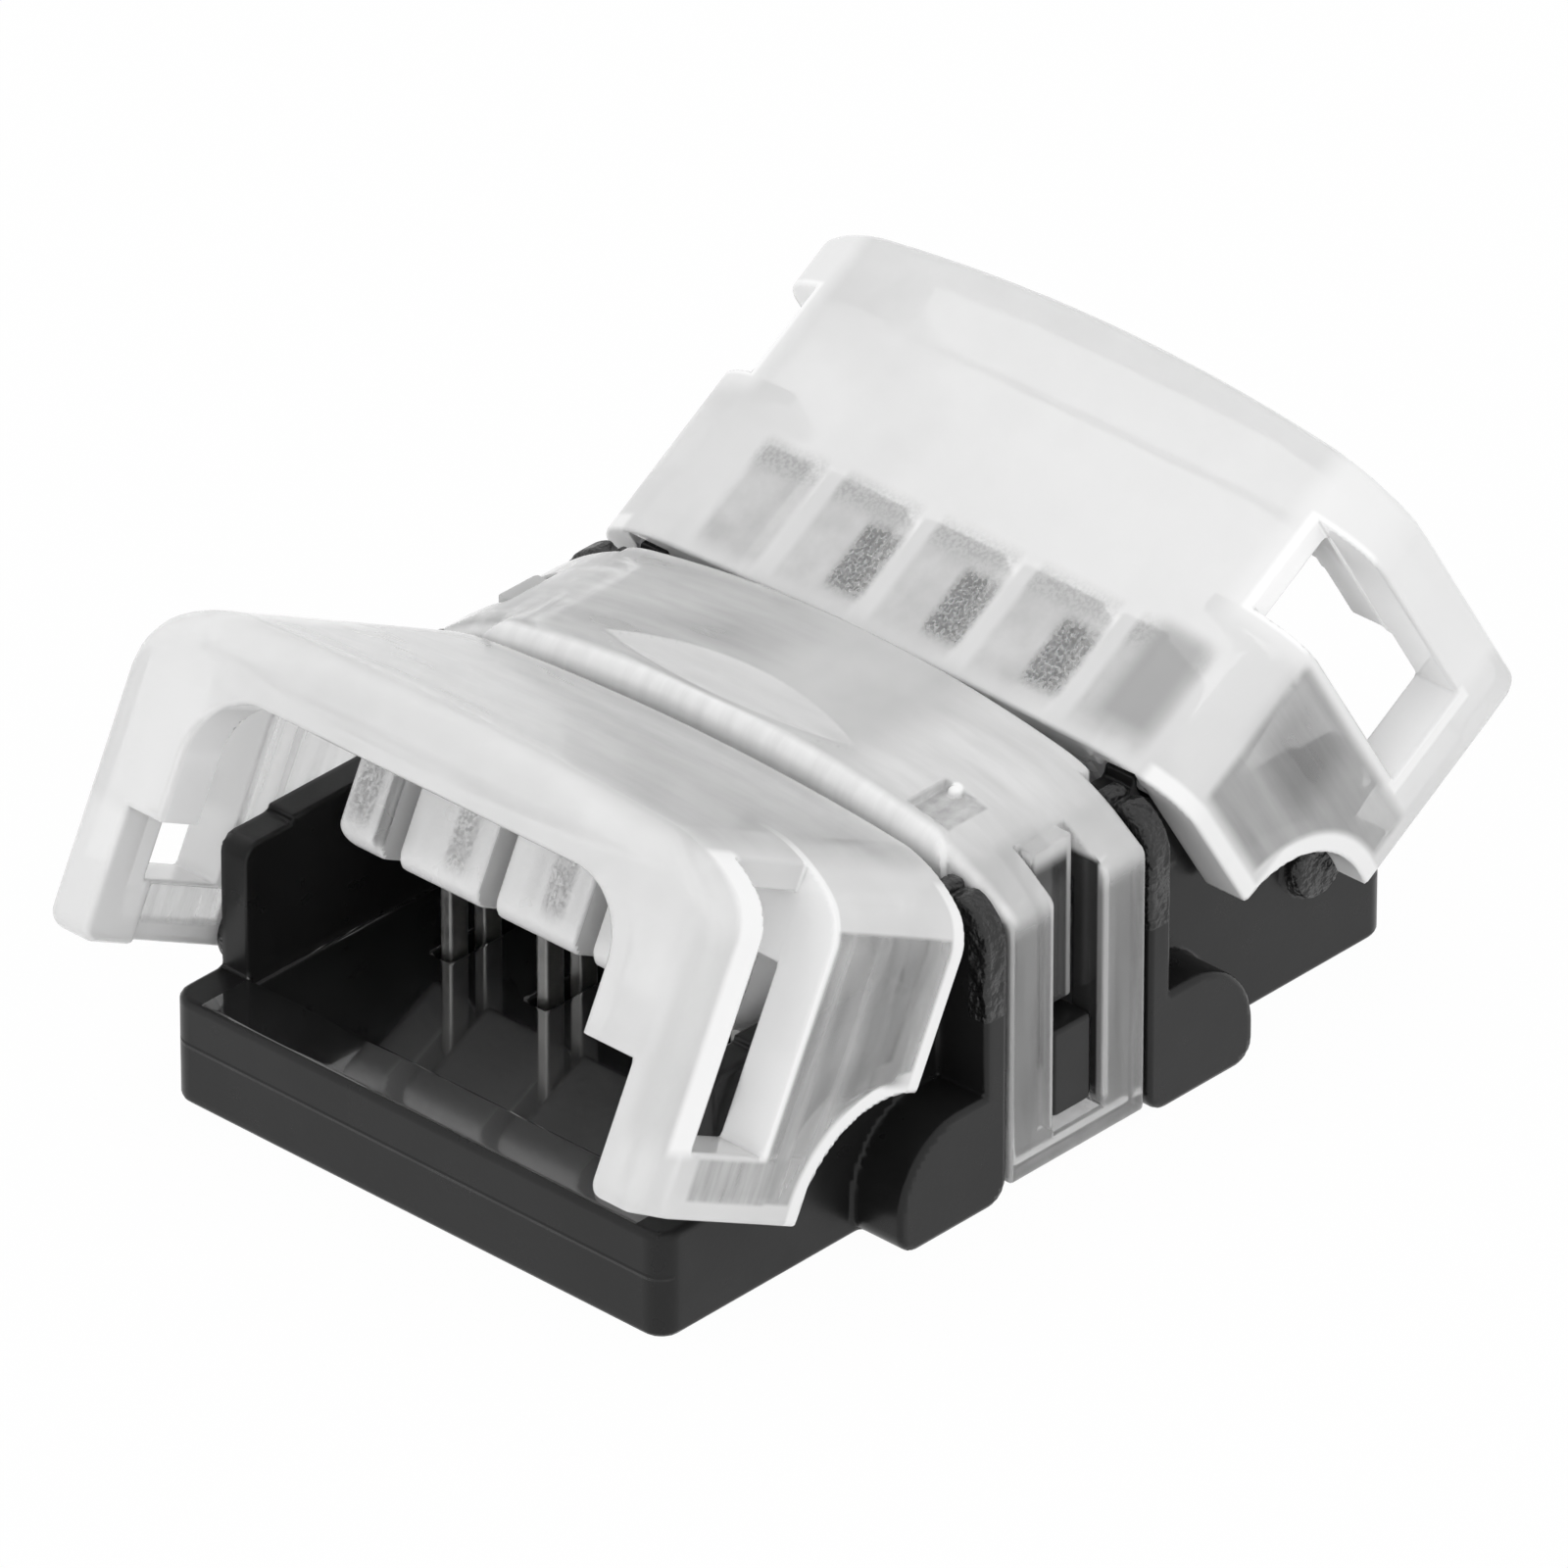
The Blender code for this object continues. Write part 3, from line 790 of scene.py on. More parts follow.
def leg_edge_highlights(middle: float, half: float, milk: float, up: tuple) -> tuple:
    """Cloudy upright lines on the cover's legs, one before and one behind the middle, as painted
    highlights along edges.

    Args:
        middle: Distance of a line from the leg's middle.
        half: Half its width.
        milk: How milky it is.
        up: Limits of its height.

    Returns:
        Two zones.
    """
    places = (-middle, middle)
    return tuple(Zone(milk, (x - half, x + half, 0.03), across=COVER_SIDE, up=up) for x in places)


COVER_ZONES = (
    # Clearer far part and cloudier near part of the top
    Zone(
        0.36, (-1.9, 1.9, 0.3), side=(0.5, 5.5, 1.2), up=COVER_TOP,
        streaks=0.09, grain=SIDEWAYS, grain_scale=0.7,
    ),
    Zone(
        0.62, side=(-6.0, -3.0, 0.8), up=(6.3, FAR, 0.1),
        streaks=0.08, grain=SIDEWAYS, grain_scale=0.8,
    ),
    # White front edge, a painted highlight along the rounded edge
    Zone(
        0.92, (-1.95, -1.6, 0.10), up=(5.6, FAR, 0.2),
        streaks=0.06, grain=(0.6, 3.0, 0.5), grain_scale=1.2,
    ),
    # Lens-shaped recess, milkier inside as a painted highlight, gate's recess and the gate's dot
    Zone(0.58, up=COVER_TOP, discs=LENS, streaks=0.05, grain=SIDEWAYS, grain_scale=1.0),
    Zone(0.40, (-1.45, -0.45, 0.04), side=(-5.35, -4.35, 0.04), up=COVER_TOP, streaks=0.10),
    Zone(1.00, up=COVER_TOP, discs=GATE_DOT),
    # Tongue behind the legs' windows, and the legs
    Zone(0.60, (-0.7, 0.36, 0.04), (5.5, 6.6, 0.05), up=(2.0, 5.9, 0.2), tone=0.06),
    Zone(
        0.16, across=(6.6, FAR, 0.2), up=(0.2, 5.4, 0.3),
        tone=0.60, streaks=0.08, grain=VERTICAL, grain_scale=1.0,
    ),
    # Painted highlights along the rims of the legs' windows and the edges of the legs, and the
    # windows' dark far sides
    *leg_edge_highlights(0.70, 0.06, 0.60, (0.95, 5.6, 0.1)),
    *leg_edge_highlights(1.84, 0.16, 0.50, (0.2, 5.6, 0.3)),
    Zone(0.85, (0.52, 0.70, 0.02), across=(6.1, 7.0, 0.05), up=(0.9, 5.8, 0.1), tone=0.03),
)

RIB_ZONES = (
    # Upper part, cloudier
    Zone(
        0.78, across=(-1.0, FAR, 0.1), up=(3.6, FAR, 0.3),
        streaks=0.10, grain=(1.0, 3.0, 0.3), grain_scale=1.2,
    ),
    # Speckled strip down each rib's face, and a clear side
    Zone(
        0.50, (5.3, FAR, 0.1), row=(-2.05, CONTACT_PITCH, 0.26, 0.08), up=(3.7, FAR, 0.25),
        specks=0.14,
    ),
    Zone(0.20, side=(-3.95, -3.65, 0.05), up=(3.4, FAR, 0.15)),
)


class Look(Enum):
    """The finishes of the part."""

    BLACK = BlackPlastic(
        "black_satin", 0.011, (0.26, 0.36), (Grain(9.0, 0.12, 0.00001),), specular=0.28
    )
    BLACK_GLOSS = BlackPlastic(
        "black_polished", 0.012, (0.07, 0.12), (Grain(1.2, 0.15, 0.00001),), specular=0.9, coat=1.0
    )
    BLACK_SPARK = BlackPlastic(
        "black_textured", 0.011, (0.26, 0.36), (Grain(4.5, 0.9, 0.00012), Grain(1.9, 1.0, 0.00030))
    )
    FRONT_LID = ClearPlastic(
        "clear_front_lid", 0.95, (0.08, 0.16), (Grain(0.5, 0.2, 0.00003),),
        milk=0.68, cloud=0.03, zones=FRONT_ZONES,
    )
    BACK_LID = ClearPlastic(
        "clear_back_lid", 0.95, (0.08, 0.16), (Grain(0.5, 0.2, 0.00003),),
        milk=0.70, cloud=0.02, zones=back_zones(RIB_SHIFT),
    )
    RIB = ClearPlastic(
        "clear_rib", 0.98, (0.25, 0.38), (Grain(6.0, 0.5, 0.00003), Grain(2.0, 0.5, 0.00004)),
        milk=0.95, cloud=0.03, zones=RIB_ZONES,
    )
    COVER = ClearPlastic(
        "clear_cover", 0.94, (0.06, 0.14), (Grain(0.6, 0.25, 0.00003),),
        milk=0.46, cloud=0.05, zones=COVER_ZONES,
    )
    METAL = Plating("tin_plating", 0.95, (0.30, 0.45))


@dataclass
class Cabinet:
    """Keeps each finished material so that pieces share it."""

    made: dict = field(default_factory=dict)

    def get(self, look: Look) -> bpy.types.Material:
        """Makes a finish's material, or finds it again.

        Args:
            look: The finish.

        Returns:
            The material.
        """
        if look not in self.made:
            self.made[look] = look.value.make()
        return self.made[look]


# Pieces


def piece_from(skin: Skin, name: str, place: Matrix) -> bpy.types.Object:
    """Turns a skin into an object in the row frame.

    Args:
        skin: The mesh, in the piece's own millimetres.
        name: Name of the piece.
        place: Where it stands, in metres.

    Returns:
        The object, smooth, with the field's own normals.
    """
    mesh = bpy.data.meshes.new(name)
    mesh.vertices.add(len(skin.points))
    mesh.loops.add(skin.faces.size)
    mesh.polygons.add(len(skin.faces))
    mesh.vertices.foreach_set("co", (skin.points * MM).astype(np.float32).ravel())
    mesh.loops.foreach_set("vertex_index", skin.faces.astype(np.int32).ravel())
    mesh.polygons.foreach_set("loop_start", np.arange(0, skin.faces.size, 4, dtype=np.int32))
    mesh.polygons.foreach_set("use_smooth", np.ones(len(skin.faces), bool))
    mesh.update(calc_edges=True)
    mesh.normals_split_custom_set_from_vertices(skin.normals.tolist())
    made = bpy.data.objects.new(name, mesh)
    made.matrix_world = place
    bpy.context.scene.collection.objects.link(made)
    return made


def dress(made: bpy.types.Object, looks: list, choice: Array, cabinet: Cabinet) -> None:
    """Gives each face its finish.

    Args:
        made: The piece.
        looks: Its finishes, in order.
        choice: Number of the finish for each face.
        cabinet: Where the materials are kept.
    """
    for look in looks:
        made.data.materials.append(cabinet.get(look))
    made.data.polygons.foreach_set("material_index", choice.astype(np.int32))


def report(made: bpy.types.Object) -> None:
    """Logs a piece and its size."""
    LOG.info("%s: %d faces", made.name, len(made.data.polygons))


@dataclass
class Base:
    """The black moulding, in millimetres, centred, with its sole at height 0."""

    # Sole and trays
    half_length: float = 9.45
    half_width: float = 6.0
    height: float = 2.15
    corner: float = 0.45
    top_edge: float = 0.12
    sole_edge: float = 0.12
    tray_end: float = 8.15
    tray_floor: float = 1.95
    tray_edges: tuple = (0.05, 0.06)
    root: float = 0.6
    # Side walls, the block between the trays and the walls beside it
    wall_inner: float = 5.3
    wall_height: float = 4.83
    wall_corner: float = 0.35
    wall_edge: float = 0.07
    wall_step: float = 0.12
    step_at: float = 6.95
    step_corner: float = 0.03
    block_half: float = 2.4
    block_edge: float = 0.08
    centre_wall: float = 5.5
    centre_edge: float = 0.06
    # Ears and fins
    half_overall: float = 7.15
    ear_centre: tuple = (3.0, 0.75)
    ear_radius: float = 1.6
    ear_foot: float = 0.45
    ear_foot_top: float = 3.0
    ear_edge: float = 0.1
    fin: tuple = (1.85, 2.4)
    fin_height: float = 6.2
    fin_inner: float = 5.75
    fin_round: float = 1.0
    fin_corner: float = 0.1
    fin_edge: float = 0.08
    fin_overlap: float = 0.1
    # Cheeks with the seats of the lids' pins
    hinge: tuple = (3.2, 6.0)
    cheek_radius: float = 0.6
    cheek_foot: tuple = (2.2, 4.0)
    cheek_top: float = 0.22
    seat_radius: float = 0.41
    cheek_edges: tuple = (0.03, 0.05)
    # Round lugs for the lids and square ones for the cover
    lug: tuple = (7.3, 2.45)
    lug_radius: float = 0.66
    lug_reach: tuple = (5.6, 6.32)
    lug_edge: float = 0.1
    square_low: tuple = (-0.5, 5.6, 0.95)
    square_high: tuple = (0.5, 7.0, 2.75)
    square_edge: float = 0.06
    # Slots for the contacts, fillets and the mesh
    slot_half_length: float = 5.1
    slot_half_width: float = 0.235
    slot_edge: float = 0.05
    fillet: float = 0.06
    pitch: float = 0.11
    # Polished finish of the trays, rough finish of the fins' rims and the lugs
    gloss_facing: float = 0.7
    gloss_over: float = 0.15
    spark_from: float = 3.9
    spark_rim: float = 0.4
    lug_past: float = 0.02
    finish_past: float = 0.1
    finish_lap: float = 0.05

    def contact_gap(self, y: Array) -> Array:
        """Distance to the middle plane of the nearest contact."""
        return np.abs(np.abs(np.abs(y) - CONTACT_PITCH) - CONTACT_PITCH / 2)

    def plate(self, x: Array, y: Array, z: Array) -> Array:
        """The rounded sole.

        Args:
            x, y, z: Points.

        Returns:
            Signed distance.
        """
        high = (self.half_length, self.half_width)
        outline = area(x, y, (-high[0], -high[1]), high, self.corner)
        return meet(meet(outline, z - self.height, self.top_edge), -z, self.sole_edge)

    def walls(self, x: Array, y: Array, z: Array) -> Array:
        """Side walls, the middle block and the higher walls beside it.

        Args:
            x, y, z: Points.

        Returns:
            Signed distance.
        """
        u, v = np.abs(x), np.abs(y)
        top = self.wall_height + self.wall_step
        side = area(u, z, (-self.tray_end, DEEP), (self.tray_end, self.wall_height), self.wall_corner)
        step = area(u, z, (-self.step_at, DEEP), (self.step_at, top), self.step_corner)
        across = np.maximum(self.wall_inner - v, v - self.half_width)
        made = meet(np.minimum(side, step), across, self.wall_edge)
        made = np.maximum(made, self.root - z)
        low = (-self.block_half, -1, self.root)
        middle = block(x, v, z, low, (self.block_half, self.half_width, top), self.block_edge)
        reach = self.fin[0] + self.fin_overlap
        centre = (reach, self.half_width, self.centre_wall)
        high = block(x, v, z, (-reach, self.wall_inner, 1), centre, self.centre_edge)
        return np.minimum(np.minimum(made, middle), high)

    def ears(self, x: Array, y: Array, z: Array) -> Array:
        """The quarter-round ears beside the plate.

        Args:
            x, y, z: Points.

        Returns:
            Signed distance.
        """
        u, v = np.abs(x), np.abs(y)
        middle, height = self.ear_centre
        end = (middle + self.ear_radius, self.ear_foot_top)
        foot = area(u, z, (self.fin[0], 0.0), end, self.ear_foot)
        dome = np.hypot(np.maximum(u - middle, 0.0), z - height) - self.ear_radius
        profile = np.maximum(np.where(z < height, foot, dome), self.fin[0] - u)
        across = np.maximum(v - self.half_overall, self.wall_inner - v)
        return meet(profile, across, self.ear_edge)

    def fins(self, x: Array, y: Array, z: Array) -> Array:
        """The upright fins beside the cover's legs, round at their outer corners only.

        Args:
            x, y, z: Points.

        Returns:
            Signed distance.
        """
        u, v = np.abs(x), np.abs(y)
        low = (self.fin_inner, DEEP)
        outer = area(v, z, low, (self.half_overall, self.fin_height), self.fin_round)
        end = (self.half_overall - self.fin_round, self.fin_height)
        inner = area(v, z, low, end, self.fin_corner)
        shape = np.maximum(np.minimum(outer, inner), self.root - z)
        return meet(shape, np.maximum(self.fin[0] - u, u - self.fin[1]), self.fin_edge)

    def cheeks(self, x: Array, y: Array, z: Array) -> Array:
        """The cheeks with the open seats of the lids' pins.

        Args:
            x, y, z: Points.

        Returns:
            Signed distance.
        """
        u, v = np.abs(x), np.abs(y)
        middle, height = self.hinge
        away = np.hypot(u - middle, z - height)
        stem = area(u, z, self.cheek_foot, (middle + self.cheek_radius, height))
        shape = np.minimum(away - self.cheek_radius, stem)
        shape = np.maximum(shape, z - height - self.cheek_top)
        shape = carve(shape, away - self.seat_radius, self.cheek_edges[0])
        across = np.maximum(self.wall_inner - v, v - self.half_width)
        return meet(shape, across, self.cheek_edges[1])

    def lugs(self, x: Array, y: Array, z: Array) -> Array:
        """Round lugs for the lids' windows and square lugs for the cover's crossbars.

        Args:
            x, y, z: Points.

        Returns:
            Signed distance.
        """
        u, v = np.abs(x), np.abs(y)
        round_lug = np.hypot(u - self.lug[0], z - self.lug[1]) - self.lug_radius
        across = np.maximum(v - self.lug_reach[1], self.lug_reach[0] - v)
        round_lug = meet(round_lug, across, self.lug_edge)
        square = block(u, v, z, self.square_low, self.square_high, self.square_edge)
        return np.minimum(round_lug, square)

    def shape(self, x: Array, y: Array, z: Array) -> Array:
        """The whole moulding.

        Args:
            x, y, z: Points.

        Returns:
            Signed distance.
        """
        u, v = np.abs(x), np.abs(y)
        body = np.minimum(self.plate(x, y, z), self.walls(x, y, z))
        low = (self.block_half, -1.0, self.tray_floor)
        tray = block(u, v, z, low, (self.tray_end, self.wall_inner, FAR), self.tray_edges[0])
        body = carve(body, tray, self.tray_edges[1])
        wings = np.minimum(self.ears(x, y, z), self.fins(x, y, z))
        for part in (wings, self.cheeks(x, y, z), self.lugs(x, y, z)):
            body = join(body, part, self.fillet)
        slot = np.maximum(u - self.slot_half_length, self.root - z)
        slot = np.maximum(self.contact_gap(y) - self.slot_half_width, slot)
        return carve(body, slot, self.slot_edge)

    def finishes(self, skin: Skin) -> Array:
        """Chooses each face's finish.

        Args:
            skin: The moulding's mesh.

        Returns:
            0 for satin, 1 for the polished trays, 2 for the rough rims and lugs.
        """
        centre = skin.points[skin.faces].mean(axis=1)
        facing = skin.normals[skin.faces].mean(axis=1)
        u, v, z = np.abs(centre[:, 0]), np.abs(centre[:, 1]), centre[:, 2]
        choice = np.zeros(len(centre), int)
        floor = (facing[:, 2] > self.gloss_facing) & (z < self.height + self.gloss_over)
        choice[floor & (v < self.wall_inner) & (u > self.block_half - self.finish_past)] = 1
        outline = (self.half_overall, self.fin_height)
        rim = area(v, z, (self.fin_inner, DEEP), outline, self.fin_round) > -self.spark_rim
        near_fin = (u < self.fin[1] + self.finish_past) & (v > self.fin_inner - self.finish_lap)
        away = np.hypot(u - self.lug[0], z - self.lug[1])
        lug = (away < self.lug_radius + self.lug_past) & (v > self.half_width + self.finish_lap)
        choice[near_fin & rim & (z > self.spark_from) | lug] = 2
        return choice

    def build(self, cabinet: Cabinet) -> bpy.types.Object:
        """Makes the piece and dresses it.

        Args:
            cabinet: Where the materials are kept.

        Returns:
            The piece, in place of the plain one.
        """
        low = (-self.half_length, -self.half_overall, 0.0)
        high = (self.half_length, self.half_overall, self.hinge[1] + self.cheek_top)
        skin = skin_over(self.shape, low, high, self.pitch)
        made = piece_from(skin, "base_moulding", Matrix.Identity(4))
        looks = [Look.BLACK, Look.BLACK_GLOSS, Look.BLACK_SPARK]
        dress(made, looks, self.finishes(skin), cabinet)
        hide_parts("base")
        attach(made, "base")
        report(made)
        return made


@dataclass
class Lid:
    """One clear lid, given closed at the back end, in millimetres.

    Attributes:
        node: Name of the node that it replaces.
        sign: 1 at the back end, -1 at the front end.
        opening: How far it stands open, in radians.
        look: Its finish.
        mouth_shift: How far the mouth lies to the lid's left.
        brow: Radius of the top's edge over the end.
        rim: Radius of the end's other edges, larger at the shoulders.
    """

    node: str
    sign: float
    opening: float
    look: Look
    mouth_shift: float = 0.0
    brow: float = 0.45
    rim: float = 0.35
    # Outer form
    start: float = 2.8
    end: float = 9.7
    bottom: float = 0.5
    side_top: float = 6.1
    shoulder: tuple = (6.0, 6.96)
    crown: float = 7.25
    half_overall: float = 7.15
    bow: float = 0.45
    bow_heights: tuple = (5.5, 6.5)
    shoulder_edge: float = 0.4
    crown_edge: float = 0.45
    foot_edge: float = 0.35
    heel_edge: float = 0.05
    side_edge: float = 0.08
    rim_heights: tuple = (5.4, 6.2)
    rim_over: float = 0.8
    rim_gain: float = 0.85
    # Room over the tray and the end frame's mouth
    skirt_inner: float = 6.1
    underside: float = 6.3
    room_corner: float = 0.2
    room_edge: float = 0.12
    frame_start: float = 8.6
    mouth_half: float = 5.1
    mouth_top: float = 5.7
    mouth_corner: float = 1.35
    gap_top: float = 3.05
    cut_past: float = 0.5
    # Windows for the lugs, pockets behind them and webs before them
    window: tuple = (6.55, 8.55)
    window_foot: float = 1.75
    window_head: float = 12.0
    window_corner: float = 0.06
    window_edge: float = 0.06
    window_inner: float = 6.05
    pocket: tuple = (4.0, 8.3)
    pocket_across: tuple = (5.9, 6.42)
    pocket_top: float = 1.66
    web_low: tuple = (6.2, 5.0, 4.98)
    web_high: tuple = (6.55, 6.2, 6.5)
    web_edge: float = 0.04
    # Room for the cheeks, the arc round the ears and the pins
    cheek_end: float = 3.95
    cheek_inner: float = 5.2
    cheek_top: float = 6.66
    arc: tuple = ARC
    arc_radius: float = 2.2
    hinge: tuple = (3.2, 6.0)
    pin_radius: float = 0.35
    pin_reach: tuple = (5.35, 6.45)
    pin_edge: float = 0.04
    cut_edge: float = 0.05
    # Ribs
    rib_end: float = 5.45
    rib_low: float = 3.15
    rib_half: float = 4.8
    rib_round: float = 0.4
    rib_gap: float = 0.21
    rib_edge: float = 0.07
    rib_sink: float = 0.1
    # The ribs' own finish: how far past their end, past their sides and below the top
    finish_past: tuple = (0.05, 0.2, 0.1)
    finish_facing: float = 0.9
    pitch: float = 0.08

    def shell(self, x: Array, y: Array, z: Array) -> Array:
        """Outer form: crowned top, sloping shoulders, bowed and rounded end.

        Args:
            x, y, z: Points.

        Returns:
            Signed distance.
        """
        v = np.abs(y)
        slant = slope(v, z, (self.half_overall, self.side_top), self.shoulder)
        drop = (self.crown - self.shoulder[1]) * (v / self.shoulder[0]) ** 2
        top = z - (self.crown - drop)
        across = meet(v - self.half_overall, slant, self.shoulder_edge)
        across = meet(across, top, self.crown_edge)
        blend = share_between(z, self.bow_heights)
        blend = blend * blend * (3 - 2 * blend)
        bowed = self.end + self.bow * (1 - (y / self.half_overall) ** 2) * blend
        length = meet(x - bowed, self.bottom - z, self.foot_edge)
        length = meet(length, self.start - x, self.heel_edge)
        distal = share_between(x, (self.frame_start, self.frame_start + self.rim_over))
        extra = self.rim_gain * self.rim * share_between(z, self.rim_heights)
        rounding = self.side_edge + distal * (self.rim - self.side_edge + extra)
        return np.maximum(meet(length, across, rounding), meet(x - bowed, top, self.brow))

    def hollow(self, x: Array, y: Array, z: Array) -> Array:
        """The space over the tray and the mouth in the end frame.

        Args:
            x, y, z: Points.

        Returns:
            Signed distance.
        """
        v = np.abs(y)
        inner = (self.frame_start, self.skirt_inner, self.underside)
        room = block(x, v, z, (-FAR, -1.0, -FAR), inner, self.room_corner)
        before = self.frame_start - self.cut_past - x
        gap = np.maximum(np.maximum(v - self.skirt_inner, z - self.gap_top), before)
        v = np.abs(y - self.mouth_shift)
        high = (self.mouth_half, self.mouth_top)
        mouth = area(v, z, (-self.mouth_half, 0.0), high, self.mouth_corner)
        return np.minimum(np.minimum(room, gap), np.maximum(mouth, before))

    def windows(self, x: Array, y: Array, z: Array) -> Array:
        """Latch windows, open at the top, and the pockets behind them.

        Args:
            x, y, z: Points.

        Returns:
            Signed distance.
        """
        v = np.abs(y)
        start, end = self.window
        head = (end, self.window_head)
        window = area(x, z, (start, self.window_foot), head, self.window_corner)
        window = np.maximum(window, self.window_inner - v)
        pocket = np.maximum(v - self.pocket_across[1], self.pocket_across[0] - v)
        pocket = np.maximum(pocket, np.maximum(self.pocket[0] - x, z - self.pocket_top))
        return np.minimum(window, np.maximum(pocket, x - self.pocket[1]))

    def ribs(self, x: Array, y: Array, z: Array) -> Array:
        """Five pressing ribs with slots for the contacts' prongs.

        Args:
            x, y, z: Points.

        Returns:
            Signed distance.
        """
        v = np.abs(y)
        profile = area(x, z, (self.start, self.rib_low), (self.rib_end, FAR))
        profile = np.maximum(profile, meet(x - self.rib_end, self.rib_low - z, self.rib_round))
        profile = np.maximum(profile, z - self.underside - self.rib_sink)
        slots = self.rib_gap - np.abs(np.abs(v - CONTACT_PITCH) - CONTACT_PITCH / 2)
        outer = meet(v - self.rib_half, self.rib_low - z, self.rib_round)
        return meet(profile, np.maximum(slots, outer), self.rib_edge)

    def pins(self, x: Array, y: Array, z: Array) -> Array:
        """The two hinge pins.

        Args:
            x, y, z: Points.

        Returns:
            Signed distance.
        """
        v = np.abs(y)
        pin = np.hypot(x - self.hinge[0], z - self.hinge[1]) - self.pin_radius
        return meet(pin, np.maximum(self.pin_reach[0] - v, v - self.pin_reach[1]), self.pin_edge)

    def shape(self, x: Array, y: Array, z: Array) -> Array:
        """The whole moulding.

        Args:
            x, y, z: Points.

        Returns:
            Signed distance.
        """
        v = np.abs(y)
        body = carve(self.shell(x, y, z), self.hollow(x, y, z), self.room_edge)
        cheek = np.maximum(v - self.skirt_inner, z - self.cheek_top)
        cheek = np.maximum(np.maximum(x - self.cheek_end, self.cheek_inner - v), cheek)
        body = carve(body, cheek, self.cut_edge)
        arc = np.hypot(x - self.arc[0], z - self.arc[1]) - self.arc_radius
        body = carve(body, arc, self.cut_edge)
        body = carve(body, self.windows(x, y, z), self.window_edge)
        body = join(body, self.ribs(x, y, z), self.cut_edge)
        web = block(x, v, z, self.web_low, self.web_high, self.web_edge)
        body = join(body, web, self.cut_edge)
        return np.minimum(body, self.pins(x, y, z))

    def place(self) -> Matrix:
        """Finds where the open lid stands.

        Returns:
            Its matrix, in metres.
        """
        hinge = Vector((self.hinge[0], 0.0, self.hinge[1])) * MM
        turned = Matrix.Rotation(-self.opening, 4, "Y") @ Matrix.Translation(-hinge)
        if self.sign < 0:
            turned = Matrix.Rotation(math.pi, 4, "Z") @ turned
        return Matrix.Translation((self.sign * hinge.x, 0.0, hinge.z)) @ turned

    def finishes(self, skin: Skin) -> Array:
        """Chooses each face's finish.

        Args:
            skin: The moulding's mesh.

        Returns:
            0 for the lid's own finish and 1 for the ribs'.
        """
        centre = skin.points[skin.faces].mean(axis=1)
        facing = skin.normals[skin.faces].mean(axis=1)
        x, v, z = centre[:, 0], np.abs(centre[:, 1]), centre[:, 2]
        past_end, past_side, below = self.finish_past
        near = (x < self.rib_end + past_end) & (v < self.rib_half + past_side)
        near &= z < self.underside - below
        choice = np.zeros(len(centre), int)
        choice[near & (np.abs(facing[:, 1]) < self.finish_facing)] = 1
        return choice

    def build(self, cabinet: Cabinet) -> bpy.types.Object:
        """Makes the piece and dresses it.

        Args:
            cabinet: Where the materials are kept.

        Returns:
            The piece, in place of the plain one.
        """
        low = (self.start, -self.half_overall, self.bottom)
        high = (self.end + self.bow, self.half_overall, self.crown)
        skin = skin_over(self.shape, low, high, self.pitch)
        made = piece_from(skin, self.node + "_moulding", self.place())
        dress(made, [self.look, Look.RIB], self.finishes(skin), cabinet)
        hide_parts(self.node)
        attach(made, self.node)
        report(made)
        return made


